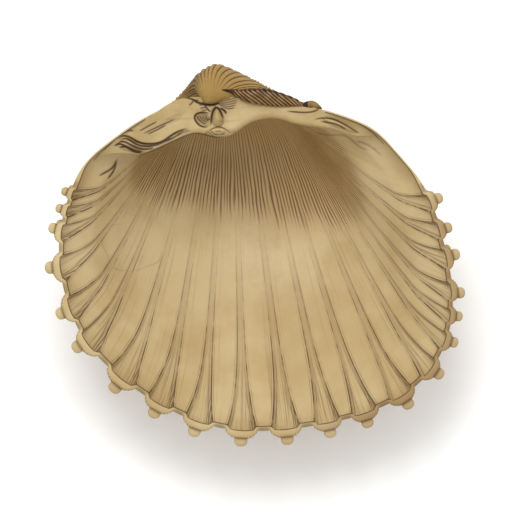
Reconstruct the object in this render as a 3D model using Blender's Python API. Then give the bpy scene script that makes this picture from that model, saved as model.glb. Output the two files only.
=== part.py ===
"""One valve of a knobbed cockle, lying on its rounded back with its hollow side up.

The wall is a logarithmic spiral: the edge of the valve, made ever smaller and turned about the hinge, traces
the wall back to the beak. Points are worked out in millimetres in the shell's own frame: U runs along the
hinge towards the ligament, V from the lower edge up to the beak, and W out of the hollow, with the plane of
the edge at W = 0. A rest matrix then lays the shell down and turns the points into metres.
"""

import math

import bmesh
import bpy
import numpy as np
from mathutils import Matrix, Vector

MM = 0.001

# The edge of the valve, from the ligament round the lower edge to the front end of the hinge.
EDGE_MM = (
    (18.2, -0.8),
    (22.0, -1.2),
    (27.0, -2.6),
    (33.0, -5.4),
    (37.4, -9.8),
    (43.0, -17.0),
    (46.6, -27.0),
    (48.6, -38.0),
    (47.2, -48.0),
    (42.0, -56.0),
    (33.0, -61.5),
    (20.0, -64.8),
    (4.0, -65.4),
    (-8.0, -61.5),
    (-18.5, -54.6),
    (-26.0, -46.0),
    (-29.6, -36.0),
    (-30.2, -27.0),
    (-28.4, -19.0),
    (-25.4, -12.6),
    (-20.6, -8.0),
    (-14.0, -3.4),
    (-9.0, -0.9),
)
EDGE_SAMPLES = 4001

# Growth: the rate at which the edge shrinks as it turns, and how the beak leans and sinks meanwhile.
SPIRAL_RATE = 0.745
STEEP_EDGE_RAD = 0.07
BEAK_LEAN_MM = 5.0
BEAK_SINK_MM = 3.0
SINK_END_RAD = 1.4
EDGE_RADIUS_MM = 69.0

# The beak coils tighter than the rest: by a share all round, more towards each side, and its tip leans forward.
COIL_RAD = (1.0, 2.0)
COIL_SHARE = 0.09
FRONT_COIL_SHARE = 0.06
BACK_COIL_SHARE = 0.4
BACK_COIL_POWER = 1.2
FRONT_REACH_MM = 30.2
BACK_REACH_MM = 48.6
TIP_RAD = (2.0, 3.2)
TIP_LEAN_MM = 1.2

# The slopes beside the hinge stand steep: how far they bulge away from the edge's plane, and where.
SLOPE_BULGE_MM = 5.5
SLOPE_BULGE_AT_MM = 7.0
SLOPE_STEEP_RAD = 0.1
SLOPE_BULGE_END_RAD = (0.5, 1.7)

# Ribs, by the place of each one's middle along the edge. The wall beyond the first and last is plain.
RIB_PLACES_MM = (
    34.0, 40.0, 45.5, 53.0, 57.5, 62.5, 69.0, 77.0, 85.5, 93.0, 101.5,
    110.5, 119.5, 128.0, 137.0, 147.5, 154.5, 163.5, 171.0, 175.0, 178.5,
)
RIB_PITCH_MM = 8.5
RIB_HEIGHT_MM = 1.75
RIB_HALF_WIDTH = 0.32
RIB_COLUMNS = 6
PLAIN_COLUMNS = 5

# Knobs that stand on the crests: a full one where each rib meets the edge, and worn ones further back.
KNOB_ANGLE_RAD = 0.017
KNOB_RADIUS_MM = 1.15
KNOB_REACH_MM = 0.2
WORN_KNOB_MM = 0.9

# Rows of the wall, as angles about the hinge from the edge to the beak. The inner face uses some of them.
ROW_ANGLES = (
    0.0, 0.01, 0.035, 0.12, 0.28, 0.44, 0.61, 0.78, 0.96,
    1.15, 1.36, 1.6, 1.87, 2.25, 2.75, 3.5, 4.7,
)
WORN_KNOB_ROWS = (4, 6, 8, 10, 12)
INNER_ROWS = (0, 2, 3, 5, 7, 9, 11, 13, 16)

# Wall thickness, square to the edge's outline, and the flutes that the ribs leave on the inner face.
RIM_MM = 1.1
PLAIN_RIM_SHARE = 0.45
RIM_FACE_MM = 0.35
RIM_ROUNDING_RAD = 0.02
WALL_GAIN_MM = 2.3
UMBO_GAIN_MM = 1.2
FLUTE_DEPTH_MM = 0.9
FLUTE_FADE_MM = 16.0
FLUTE_HALF_WIDTH = 0.16
FLUTE_FLARE_MM = 9.0
END_TAPER_MM = 14.0
CORE_STRETCH = (1.1, 0.4)
CAVITY_END_RAD = (1.15, 2.3)

# The hinge plate: stations along the hinge, each with its outer edge, its free edge and its thickness.
PLATE_STATIONS_MM = (
    ((-24.0, -11.0, -1.2), (-22.6, -12.2, -2.2), 1.5),
    ((-20.8, -8.6, -0.6), (-17.2, -11.1, -2.2), 2.0),
    ((-16.6, -4.8, -0.5), (-12.8, -10.1, -1.8), 2.6),
    ((-13.0, -2.8, -0.5), (-8.8, -8.4, -1.6), 3.0),
    ((-9.4, -0.8, -0.6), (-5.9, -7.1, -1.6), 3.4),
    ((-6.0, 0.8, -1.2), (-3.3, -6.2, -1.5), 3.8),
    ((-2.6, 1.2, -2.4), (-0.8, -6.5, -1.4), 4.2),
    ((0.6, 1.2, -3.0), (1.8, -7.0, -1.6), 4.4),
    ((4.0, 1.2, -3.0), (4.8, -6.1, -2.0), 4.2),
    ((8.0, 1.0, -2.6), (8.0, -4.0, -1.8), 4.0),
    ((13.0, 0.6, -2.4), (13.0, -3.1, -1.4), 3.6),
    ((18.0, 0.0, -1.8), (18.0, -4.4, -1.4), 3.2),
    ((22.4, -1.2, -0.7), (23.6, -5.1, -1.4), 2.8),
    ((27.0, -2.8, -0.5), (28.4, -6.5, -1.6), 2.4),
    ((31.2, -4.8, -0.6), (32.0, -7.6, -2.0), 1.8),
    ((34.8, -7.8, -1.2), (34.8, -9.2, -2.4), 1.4),
)
PLATE_STEPS = 34
PLATE_FRONT_POINTS = 4
PLATE_NOSE_POINTS = 4
PLATE_NOSE_SHARE = 0.32
PLATE_BACK_SHARE = 0.6

# Teeth: middle, half sizes along U, V and W, and the turn in the plane of the edge.
CARDINAL_TOOTH_MM = ((1.3, -2.6, -1.6), (0.9, 2.1, 2.2), 8.0)
SOCKET_MM = ((-1.6, -3.5, -0.6), (1.7, 1.2, 2.0), -38.0)
FRONT_TOOTH_MM = ((-15.2, -9.0, -1.6), (3.6, 0.8, 1.5), -12.0)
BACK_TOOTH_MM = ((26.0, -4.4, -1.5), (3.6, 0.6, 1.4), -22.0)

# The ligament: stations along its length, each with its middle across V and its half width.
LIGAMENT_STATIONS_MM = (
    (2.4, 2.6, 0.15),
    (4.4, 2.3, 0.45),
    (6.6, 1.6, 1.15),
    (9.0, 1.4, 1.6),
    (11.2, 1.2, 1.75),
    (13.4, 0.8, 1.6),
    (15.8, 0.4, 1.15),
    (17.6, 0.0, 0.7),
    (18.6, -0.3, 0.45),
    (19.4, -0.3, 0.65),
    (20.6, -0.4, 0.85),
    (21.6, -0.7, 0.6),
    (22.4, -1.1, 0.15),
)
LIGAMENT_MIDDLE_W_MM = -1.7
LIGAMENT_DEPTH_SHARE = 0.85
LIGAMENT_SIDES = 10
LIGAMENT_STEPS = 22
SEAT_GAP_MM = 0.3

# How the valve lies: turned about X, then about Y, and sunk by the wear of its lowest rib crests.
REST_PITCH_DEG = 10.3
REST_ROLL_DEG = 1.4
CREST_WEAR_MM = 0.5


def smooth(low, high, x):
    """Ease from 0 at low to 1 at high."""
    share = np.clip((x - low) / (high - low), 0.0, 1.0)
    return share * share * (3.0 - 2.0 * share)


def natural_spline(points, count):
    """Count points on the natural cubic curve through the given ones."""
    points = np.asarray(points, float)
    knots = np.concatenate([[0.0], np.cumsum(np.linalg.norm(np.diff(points[:, :2], axis=0), axis=1) ** 0.5)])
    gaps = np.diff(knots)
    size = len(points)
    matrix = np.zeros((size, size))
    matrix[0, 0] = matrix[-1, -1] = 1.0
    right = np.zeros_like(points)
    for i in range(1, size - 1):
        matrix[i, i - 1 : i + 2] = gaps[i - 1], 2.0 * (gaps[i - 1] + gaps[i]), gaps[i]
        slope_after = (points[i + 1] - points[i]) / gaps[i]
        slope_before = (points[i] - points[i - 1]) / gaps[i - 1]
        right[i] = 6.0 * (slope_after - slope_before)
    bend = np.linalg.solve(matrix, right)
    at = np.linspace(0.0, knots[-1], count)
    i = np.clip(np.searchsorted(knots, at) - 1, 0, size - 2)
    gap = gaps[i][:, None]
    to_next = knots[i + 1][:, None] - at[:, None]
    from_last = at[:, None] - knots[i][:, None]
    cubic = (bend[i] * to_next**3 + bend[i + 1] * from_last**3) / (6.0 * gap)
    line_before = (points[i] / gap - bend[i] * gap / 6.0) * to_next
    line_after = (points[i + 1] / gap - bend[i + 1] * gap / 6.0) * from_last
    return cubic + line_before + line_after


def edge_frame(places):
    """Points of the edge at these lengths along it, its outward directions there, and its whole length."""
    curve = natural_spline(EDGE_MM, EDGE_SAMPLES)
    lengths = np.concatenate([[0.0], np.cumsum(np.linalg.norm(np.diff(curve, axis=0), axis=1))])

    def at(where):
        return np.stack([np.interp(where, lengths, curve[:, axis]) for axis in range(2)], axis=1)

    along = at(places + 0.4) - at(places - 0.4)
    along /= np.linalg.norm(along, axis=1)[:, None]
    outward = np.stack([-along[:, 1], along[:, 0]], axis=1)
    return at(places), outward, lengths[-1]


def edge_columns():
    """Lengths along the edge of the wall's columns, each with its distance from a rib's middle and the pitch there.

    Distances are in pitches. A column of the plain wall is half a pitch from any rib.
    """
    middles = np.array(RIB_PLACES_MM)
    halfway = (middles[1:] + middles[:-1]) / 2.0
    first = 1.5 * middles[0] - 0.5 * middles[1]
    last = 1.5 * middles[-1] - 0.5 * middles[-2]
    steps = np.arange(-0.5, len(middles) - 0.5 + 1e-9, 1.0 / RIB_COLUMNS)
    known = np.arange(-0.5, len(middles) - 0.5 + 1e-9, 0.5)
    known_at = np.empty(len(known))
    known_at[1::2] = middles
    known_at[2:-1:2] = halfway
    known_at[0] = first
    known_at[-1] = last
    ribbed = np.interp(steps, known, known_at)
    whole = edge_frame(np.array([0.0]))[2]
    before = np.linspace(0.0, first, PLAIN_COLUMNS + 1)[:-1]
    after = np.linspace(last, whole, PLAIN_COLUMNS + 1)[1:]
    places = np.concatenate([before, ribbed, after])
    plain = np.full(PLAIN_COLUMNS, 0.5)
    off = np.concatenate([plain, steps - np.round(steps), plain])
    off[np.abs(off) > 0.5 - 1e-6] = 0.5
    pitch = np.interp(places, middles, np.gradient(middles))
    return places, off, pitch


def lobe(off, half_width):
    """Rounded section of a rib or a flute: 1 in its middle and 0 from its half width on, in pitches."""
    return np.clip(1.0 - (off / half_width) ** 2, 0.0, None) ** 0.65


def rim_width(places):
    """Width of the rim, which is narrower on the plain slopes than along the ribs."""
    first, last = RIB_PLACES_MM[0], RIB_PLACES_MM[-1]
    ribbed = smooth(first - 8.0, first - 2.0, places) * (1.0 - smooth(last + 2.0, last + 8.0, places))
    return RIM_MM * (PLAIN_RIM_SHARE + (1.0 - PLAIN_RIM_SHARE) * ribbed)


def shrink(angle):
    """Size of the edge at this angle back from the present one, which is 1."""
    return np.exp(-SPIRAL_RATE * (angle - STEEP_EDGE_RAD * (1.0 - np.exp(-angle / STEEP_EDGE_RAD))))


def spiral(points, angle):
    """Points of the present edge, as (U, V), carried back along the spiral by an angle."""
    coil = smooth(*COIL_RAD, angle)
    size = shrink(angle) * (1.0 - COIL_SHARE * coil)
    front = np.clip(-points[..., 0] / FRONT_REACH_MM, 0.0, 1.0)
    back = np.clip(points[..., 0] / BACK_REACH_MM, 0.0, 1.0) ** BACK_COIL_POWER
    reach = points[..., 1] * size * (1.0 - BACK_COIL_SHARE * coil * back)
    u = points[..., 0] * size * (1.0 - FRONT_COIL_SHARE * coil * front)
    u = u + BEAK_LEAN_MM * np.sqrt(size) * (1.0 - size) - TIP_LEAN_MM * smooth(*TIP_RAD, angle)
    v = reach * np.cos(angle)
    from_hinge = np.abs(points[..., 1]) / SLOPE_BULGE_AT_MM
    bulge = SLOPE_BULGE_MM * from_hinge * np.exp(1.0 - from_hinge)
    bulge = bulge * (1.0 - np.exp(-angle / SLOPE_STEEP_RAD)) * (1.0 - smooth(*SLOPE_BULGE_END_RAD, angle))
    w = reach * np.sin(angle) - BEAK_SINK_MM * smooth(0.0, SINK_END_RAD, angle) - bulge
    return np.stack([u, v, w], axis=-1)


def wall_grids():
    """Points of the wall's outer face and inner face, as rows from the edge to the beak."""
    places, off, pitch = edge_columns()
    edge, outward, whole = edge_frame(places)
    angles = np.array(ROW_ANGLES)[:, None]

    size = (pitch / RIB_PITCH_MM) ** 0.8
    crest = lobe(off, RIB_HALF_WIDTH) * size
    worn_at_beak = 1.0 - 0.75 * smooth(2.6, 3.6, angles)
    height = RIB_HEIGHT_MM * crest * worn_at_beak
    rim = FLUTE_DEPTH_MM * crest - rim_width(places) + RIM_FACE_MM
    rounding = 1.0 - np.sqrt(1.0 - (1.0 - np.clip(angles / RIM_ROUNDING_RAD, 0.0, 1.0)) ** 2)
    height = height + (rim - height) * rounding
    on_crest = (np.abs(off) < 1e-6).astype(float)
    for row in WORN_KNOB_ROWS:
        height[row] += WORN_KNOB_MM * size * on_crest
    outer = spiral(edge + outward * height[..., None], angles)

    angles = angles[list(INNER_ROWS)]
    depth_back = angles * EDGE_RADIUS_MM
    gain = WALL_GAIN_MM * smooth(0.0, 0.22, angles) + UMBO_GAIN_MM * smooth(0.3, 1.6, angles)
    flare = np.exp(-depth_back / FLUTE_FLARE_MM)
    flute = lobe(off, FLUTE_HALF_WIDTH + (RIB_HALF_WIDTH - FLUTE_HALF_WIDTH) * flare) * size
    depth = FLUTE_DEPTH_MM * np.exp(-depth_back / FLUTE_FADE_MM) * flute
    from_end = np.minimum(places, whole - places)
    taper = 0.15 + 0.85 * smooth(0.0, END_TAPER_MM, from_end)
    inward = (rim_width(places) - depth + gain * taper) / shrink(angles)
    hollow = edge - outward * inward[..., None]
    share = (places / whole)[:, None]
    core = edge[0] * (1.0 - share) + edge[-1] * share
    core *= np.array(CORE_STRETCH)
    closing = smooth(*CAVITY_END_RAD, angles)[..., None]
    inner = spiral(hollow * (1.0 - closing) + core * closing, angles)
    return outer, inner


def wall_faces(rows, columns, inner_rows):
    """Faces of the wall: both grids, the rim between them, the end at the beak, and the two long sides."""
    faces = []
    inner_at = rows * columns

    def outer_point(row, column):
        return row * columns + column

    def inner_point(step, column):
        return inner_at + step * columns + column

    for row in range(rows - 1):
        for column in range(columns - 1):
            faces.append(
                (
                    outer_point(row, column),
                    outer_point(row, column + 1),
                    outer_point(row + 1, column + 1),
                    outer_point(row + 1, column),
                )
            )
    steps = len(inner_rows)
    for step in range(steps - 1):
        for column in range(columns - 1):
            faces.append(
                (
                    inner_point(step, column),
                    inner_point(step + 1, column),
                    inner_point(step + 1, column + 1),
                    inner_point(step, column + 1),
                )
            )
    for column in range(columns - 1):
        faces.append(
            (
                outer_point(0, column + 1),
                outer_point(0, column),
                inner_point(0, column),
                inner_point(0, column + 1),
            )
        )
        faces.append(
            (
                outer_point(rows - 1, column),
                outer_point(rows - 1, column + 1),
                inner_point(steps - 1, column + 1),
                inner_point(steps - 1, column),
            )
        )
    for step in range(steps - 1):
        first_row, last_row = inner_rows[step], inner_rows[step + 1]
        for column in (0, columns - 1):
            for row in range(first_row, last_row):
                faces.append((outer_point(row, column), outer_point(row + 1, column), inner_point(step, column)))
            faces.append((outer_point(last_row, column), inner_point(step + 1, column), inner_point(step, column)))
    return faces


def loft_faces(sections, sides):
    """Faces of a closed loft whose sections each have the same number of points, with both ends capped."""
    faces = []
    for section in range(sections - 1):
        for side in range(sides):
            after = (side + 1) % sides
            here, there = section * sides, (section + 1) * sides
            faces.append((here + side, here + after, there + after, there + side))
    faces.append(tuple(reversed(range(sides))))
    faces.append(tuple(range((sections - 1) * sides, sections * sides)))
    return faces


def plate_points():
    """Points of the hinge plate: at each step its front, its rounded free edge and its back."""
    flat = [(*outer, *free, thickness) for outer, free, thickness in PLATE_STATIONS_MM]
    along = natural_spline(flat, PLATE_STEPS)
    up = np.array([0.0, 0.0, 1.0])
    sections = []
    for row in along:
        outer, free, thickness = row[:3], row[3:6], row[6]
        across = free - outer
        across[2] = 0.0
        across /= np.linalg.norm(across)
        nose = thickness * PLATE_NOSE_SHARE
        free = free - across * nose
        section = [outer + (free - outer) * t for t in np.linspace(0.0, 1.0, PLATE_FRONT_POINTS)]
        for turn in np.linspace(0.0, math.pi, PLATE_NOSE_POINTS + 1)[1:]:
            section.append(free + across * nose * math.sin(turn) - up * nose * (1.0 - math.cos(turn)))
        back = outer - up * (PLATE_BACK_SHARE * thickness + 0.4)
        section.append((free - up * 2.0 * nose + back) / 2.0 - up * 0.3 * thickness)
        section.append(back)
        sections.append(section)
    return np.array(sections)


def ligament_points(grow):
    """Points of the ligament, a rounded lens with a knob at its far end, made fatter by a gap all round."""
    along = natural_spline(LIGAMENT_STATIONS_MM, LIGAMENT_STEPS)
    along[0, 0] -= grow
    along[-1, 0] += grow
    turns = np.linspace(0.0, 2.0 * math.pi, LIGAMENT_SIDES, endpoint=False)
    sections = []
    for u, v, half in along:
        across = half + grow
        deep = half * LIGAMENT_DEPTH_SHARE + grow
        ring = [(u, v + across * math.cos(t), LIGAMENT_MIDDLE_W_MM + deep * math.sin(t)) for t in turns]
        sections.append(ring)
    return np.array(sections)


def edge_knob_places():
    """Middle and radius of the knob at the end of each rib."""
    edge, outward, _ = edge_frame(np.array(RIB_PLACES_MM))
    share = np.gradient(np.array(RIB_PLACES_MM)) / RIB_PITCH_MM
    reach = RIB_HEIGHT_MM * share**0.8 + KNOB_REACH_MM * share**0.4
    middles = spiral(edge + outward * reach[:, None], np.full(len(edge), KNOB_ANGLE_RAD))
    return middles, KNOB_RADIUS_MM * share**0.4


def rest_matrix(wall):
    """Matrix from the shell's frame in millimetres to the world in metres, for a wall with these points."""
    pitch = Matrix.Rotation(math.radians(REST_PITCH_DEG), 4, "X")
    roll = Matrix.Rotation(math.radians(REST_ROLL_DEG), 4, "Y")
    turn = roll @ pitch
    to_rest = np.array(turn.to_3x3()).T
    turned = wall.reshape(-1, 3) @ to_rest
    middles, halves = edge_knob_places()
    turned_knobs = middles @ to_rest
    low = np.minimum(turned.min(axis=0), (turned_knobs - halves[:, None]).min(axis=0))
    high = np.maximum(turned.max(axis=0), (turned_knobs + halves[:, None]).max(axis=0))
    middle = (low + high) / 2.0
    shift = Matrix.Translation(Vector((-middle[0], -middle[1], -low[2] - CREST_WEAR_MM)))
    return Matrix.Scale(MM, 4) @ shift @ turn


def mesh_object(name, points, faces, to_world):
    """New object with this mesh, in the world frame, its faces turned outwards."""
    mesh = bpy.data.meshes.new(name)
    mesh.from_pydata([tuple(point) for point in np.asarray(points).reshape(-1, 3)], [], faces)
    mesh.transform(to_world)
    tidy = bmesh.new()
    tidy.from_mesh(mesh)
    bmesh.ops.recalc_face_normals(tidy, faces=tidy.faces)
    tidy.to_mesh(mesh)
    tidy.free()
    made = bpy.data.objects.new(name, mesh)
    bpy.context.scene.collection.objects.link(made)
    return made


def knob_object(name, middle, half_sizes, turn_deg, to_world, fine=2):
    """New rounded lump with this middle and these half sizes, turned in the plane of the edge."""
    lump = bmesh.new()
    bmesh.ops.create_icosphere(lump, subdivisions=fine, radius=1.0)
    place = (
        Matrix.Translation(Vector(middle))
        @ Matrix.Rotation(math.radians(turn_deg), 4, "Z")
        @ Matrix.Diagonal((*half_sizes, 1.0))
    )
    bmesh.ops.transform(lump, matrix=to_world @ place, verts=lump.verts)
    mesh = bpy.data.meshes.new(name)
    lump.to_mesh(mesh)
    lump.free()
    made = bpy.data.objects.new(name, mesh)
    bpy.context.scene.collection.objects.link(made)
    return made


def as_helper(helper):
    """Keep a cutter or a joined piece out of the finished part."""
    helper.hide_render = True
    helper.display_type = "WIRE"
    return helper


def combine(target, helper, operation):
    """Join a helper to the target, or cut it away."""
    modifier = target.modifiers.new(helper.name, "BOOLEAN")
    modifier.operation = operation
    modifier.object = as_helper(helper)


def material(name, colour, roughness):
    """A Principled material of this colour."""
    made = bpy.data.materials.new(name)
    made.use_nodes = True
    shader = made.node_tree.nodes["Principled BSDF"]
    shader.inputs["Base Color"].default_value = (*colour, 1.0)
    shader.inputs["Roughness"].default_value = roughness
    shader.inputs["Metallic"].default_value = 0.0
    return made


def ground_cutter(to_world):
    """A block under the floor plane, which takes off the worn rib crests."""
    block = bmesh.new()
    bmesh.ops.create_cube(block, size=0.2)
    bmesh.ops.translate(block, vec=Vector((0.0, 0.0, -0.1)), verts=block.verts)
    mesh = bpy.data.meshes.new("ground")
    block.to_mesh(mesh)
    block.free()
    made = bpy.data.objects.new("ground", mesh)
    bpy.context.scene.collection.objects.link(made)
    return made


def build_valve():
    """The valve: wall, hinge plate, teeth and knobs as one body, with the ligament's seat cut into it."""
    outer, inner = wall_grids()
    to_world = rest_matrix(outer)
    rows, columns = outer.shape[:2]
    points = np.concatenate([outer.reshape(-1, 3), inner.reshape(-1, 3)])
    valve = mesh_object("valve", points, wall_faces(rows, columns, INNER_ROWS), to_world)
    plate = plate_points()
    combine(
        valve,
        mesh_object("hinge_plate", plate, loft_faces(*plate.shape[:2]), to_world),
        "UNION",
    )
    for name, tooth in (
        ("cardinal_tooth", CARDINAL_TOOTH_MM),
        ("front_tooth", FRONT_TOOTH_MM),
        ("back_tooth", BACK_TOOTH_MM),
    ):
        combine(valve, knob_object(name, *tooth, to_world), "UNION")
    for number, (middle, half) in enumerate(zip(*edge_knob_places())):
        name = f"edge_knob_{number + 1}"
        combine(valve, knob_object(name, middle, (half, half, half), 0.0, to_world, fine=1), "UNION")
    combine(valve, knob_object("socket", *SOCKET_MM, to_world), "DIFFERENCE")
    seat = ligament_points(SEAT_GAP_MM)
    combine(
        valve,
        mesh_object("ligament_seat", seat, loft_faces(*seat.shape[:2]), to_world),
        "DIFFERENCE",
    )
    combine(valve, ground_cutter(to_world), "DIFFERENCE")
    valve.data.materials.append(material("shell", (0.55, 0.42, 0.24), 0.45))
    return to_world


def build_ligament(to_world):
    """The horny strip behind the beak that joined the two valves."""
    points = ligament_points(0.0)
    ligament = mesh_object("ligament", points, loft_faces(*points.shape[:2]), to_world)
    ligament.data.materials.append(material("ligament", (0.06, 0.03, 0.015), 0.5))


def main():
    """Clear the scene and build the valve and its ligament."""
    for old in list(bpy.data.objects):
        bpy.data.objects.remove(old, do_unlink=True)
    build_ligament(build_valve())


main()
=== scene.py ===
"""Looks of one valve of a knobbed cockle, lying on its rounded back with its hollow side up.

Lengths are in millimetres in the shell's own frame until a mesh is made: U runs along the hinge towards the
ligament, V from the lower edge up to the beak, and W out of the hollow, with the plane of the edge at W = 0.
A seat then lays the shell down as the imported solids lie, in metres.
"""

from __future__ import annotations

import functools
import logging
import math
from dataclasses import dataclass, field
from enum import Enum

import bpy
import numpy as np
from mathutils import Matrix, Vector

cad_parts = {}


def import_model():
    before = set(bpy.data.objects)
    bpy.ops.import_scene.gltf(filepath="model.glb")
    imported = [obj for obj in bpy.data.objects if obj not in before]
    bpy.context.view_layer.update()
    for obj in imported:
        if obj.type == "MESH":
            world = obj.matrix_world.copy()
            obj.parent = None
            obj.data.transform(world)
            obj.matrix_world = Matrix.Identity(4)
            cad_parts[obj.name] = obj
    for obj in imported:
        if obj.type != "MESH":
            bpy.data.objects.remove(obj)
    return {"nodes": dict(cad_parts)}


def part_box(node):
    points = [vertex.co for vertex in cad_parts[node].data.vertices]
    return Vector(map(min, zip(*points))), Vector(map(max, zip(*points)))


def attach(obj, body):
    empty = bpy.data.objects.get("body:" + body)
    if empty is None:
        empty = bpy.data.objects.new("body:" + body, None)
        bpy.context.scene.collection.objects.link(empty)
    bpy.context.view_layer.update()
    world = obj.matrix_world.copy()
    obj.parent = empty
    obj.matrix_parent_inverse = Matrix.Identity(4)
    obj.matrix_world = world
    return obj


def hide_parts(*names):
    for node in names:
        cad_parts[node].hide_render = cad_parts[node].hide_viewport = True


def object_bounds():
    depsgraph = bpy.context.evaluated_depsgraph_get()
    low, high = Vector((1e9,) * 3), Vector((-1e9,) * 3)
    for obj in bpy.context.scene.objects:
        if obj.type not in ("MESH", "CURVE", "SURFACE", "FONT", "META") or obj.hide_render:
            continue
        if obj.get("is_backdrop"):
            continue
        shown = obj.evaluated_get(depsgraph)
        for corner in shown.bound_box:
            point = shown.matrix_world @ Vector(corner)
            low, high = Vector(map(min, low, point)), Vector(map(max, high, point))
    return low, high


LOG = logging.getLogger("cockle")
MM = 0.001
STAIN_SPREAD = 1.7
Points = np.ndarray
Socket = bpy.types.NodeSocket
Pair = tuple[float, float]
Triple = tuple[float, float, float]


class Body(Enum):
    """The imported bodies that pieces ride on."""

    ROOT = "root"


class Slot(Enum):
    """The record's material slots."""

    SHELL = "shell"
    LIGAMENT = "ligament"


class Node(Enum):
    """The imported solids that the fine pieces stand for."""

    VALVE = "valve"
    LIGAMENT = "ligament"


class Chart(Enum):
    """Maps and numbers that the shell's points carry for its finish."""

    GROWTH = "growth"
    PLAN = "plan_mm"
    INSIDE = "inside"
    CREASE = "crease"
    FLUTE = "flute_edge_mm"
    PAINTED_CAVITY_SHADE = "painted_cavity_shade"
    RIDGE = "ridge"


def smooth(low: float, high: float, x: Points) -> Points:
    """Ease from 0 at low to 1 at high."""
    share = np.clip((x - low) / (high - low), 0.0, 1.0)
    return share * share * (3.0 - 2.0 * share)


def lobe(off: Points, half_width: Points | float) -> Points:
    """Rounded section of a rib: 1 in its middle and 0 from its half width on."""
    return np.clip(1.0 - (off / half_width) ** 2, 0.0, None) ** 0.65


def natural_spline(points: Points | tuple, count: int) -> Points:
    """Find points on the natural cubic curve through the given ones.

    Args:
        points: Two or more numbers for each station; the first two are its place.
        count: How many points to return.

    Returns:
        An array with a row for each point.
    """
    points = np.asarray(points, float)
    steps = np.linalg.norm(np.diff(points[:, :2], axis=0), axis=1) ** 0.5
    knots = np.concatenate([[0.0], np.cumsum(steps)])
    gaps = np.diff(knots)
    matrix = np.eye(len(points))
    for i in range(1, len(points) - 1):
        matrix[i, i - 1 : i + 2] = gaps[i - 1], 2.0 * (gaps[i - 1] + gaps[i]), gaps[i]
    right = np.zeros_like(points)
    right[1:-1] = 6.0 * np.diff(np.diff(points, axis=0) / gaps[:, None], axis=0)
    bend = np.linalg.solve(matrix, right)
    at = np.linspace(0.0, knots[-1], count)
    i = np.clip(np.searchsorted(knots, at) - 1, 0, len(points) - 2)
    gap = gaps[i][:, None]
    to_next = knots[i + 1][:, None] - at[:, None]
    from_last = at[:, None] - knots[i][:, None]
    cubic = (bend[i] * to_next**3 + bend[i + 1] * from_last**3) / (6.0 * gap)
    line_before = (points[i] / gap - bend[i] * gap / 6.0) * to_next
    line_after = (points[i + 1] / gap - bend[i + 1] * gap / 6.0) * from_last
    return cubic + line_before + line_after


@dataclass(frozen=True)
class LigamentForm:
    """Where the ligament lies: stations of U, V and half width, and its middle's place along W."""

    stations_mm: tuple[Triple, ...] = (
        (2.4, 2.6, 0.15), (4.4, 2.3, 0.45), (6.6, 1.6, 1.15), (9.0, 1.4, 1.6), (11.2, 1.2, 1.75),
        (13.4, 0.8, 1.6), (15.8, 0.4, 1.15), (17.6, 0.0, 0.7), (18.6, -0.3, 0.45), (19.4, -0.3, 0.65),
        (20.6, -0.4, 0.85), (21.6, -0.7, 0.6), (22.4, -1.1, 0.15),
    )
    middle_w_mm: float = -1.7
    depth_share: float = 0.85
    solid_sides: int = 10
    solid_steps: int = 22

    def rings(self, steps: int, sides: int) -> Points:
        """Points of the plain form, in steps rings of sides points."""
        along = natural_spline(self.stations_mm, steps)
        turns = np.linspace(0.0, 2.0 * math.pi, sides, endpoint=False)
        u = np.repeat(along[:, :1], sides, axis=1)
        v = along[:, 1:2] + along[:, 2:3] * np.cos(turns)
        w = self.middle_w_mm + along[:, 2:3] * self.depth_share * np.sin(turns)
        return np.stack([u, v, w], axis=-1)


@dataclass
class Seat:
    """How the shell lies: the turn from its own frame to the world, and the shift that the solids show."""

    pitch_deg: float = 10.3
    roll_deg: float = 1.4
    turn: Points = field(init=False)
    shift: Points = field(init=False)

    def __post_init__(self) -> None:
        """Read the shift from where the ligament's solid lies."""
        pitch = Matrix.Rotation(math.radians(self.pitch_deg), 3, "X")
        roll = Matrix.Rotation(math.radians(self.roll_deg), 3, "Y")
        self.turn = np.array(roll @ pitch)
        form = LigamentForm()
        turned = form.rings(form.solid_steps, form.solid_sides).reshape(-1, 3) @ self.turn.T * MM
        low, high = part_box(Node.LIGAMENT.value)
        self.shift = np.array((low + high) / 2.0) - (turned.min(axis=0) + turned.max(axis=0)) / 2.0

    def to_world(self, points: Points) -> Points:
        """Points of the shell's frame, in millimetres, as points of the world, in metres."""
        return points @ self.turn.T * MM + self.shift

    def direction(self, along: Triple) -> Vector:
        """A direction of the shell's frame in the world."""
        return Vector(self.turn @ np.array(along)).normalized()


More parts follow.
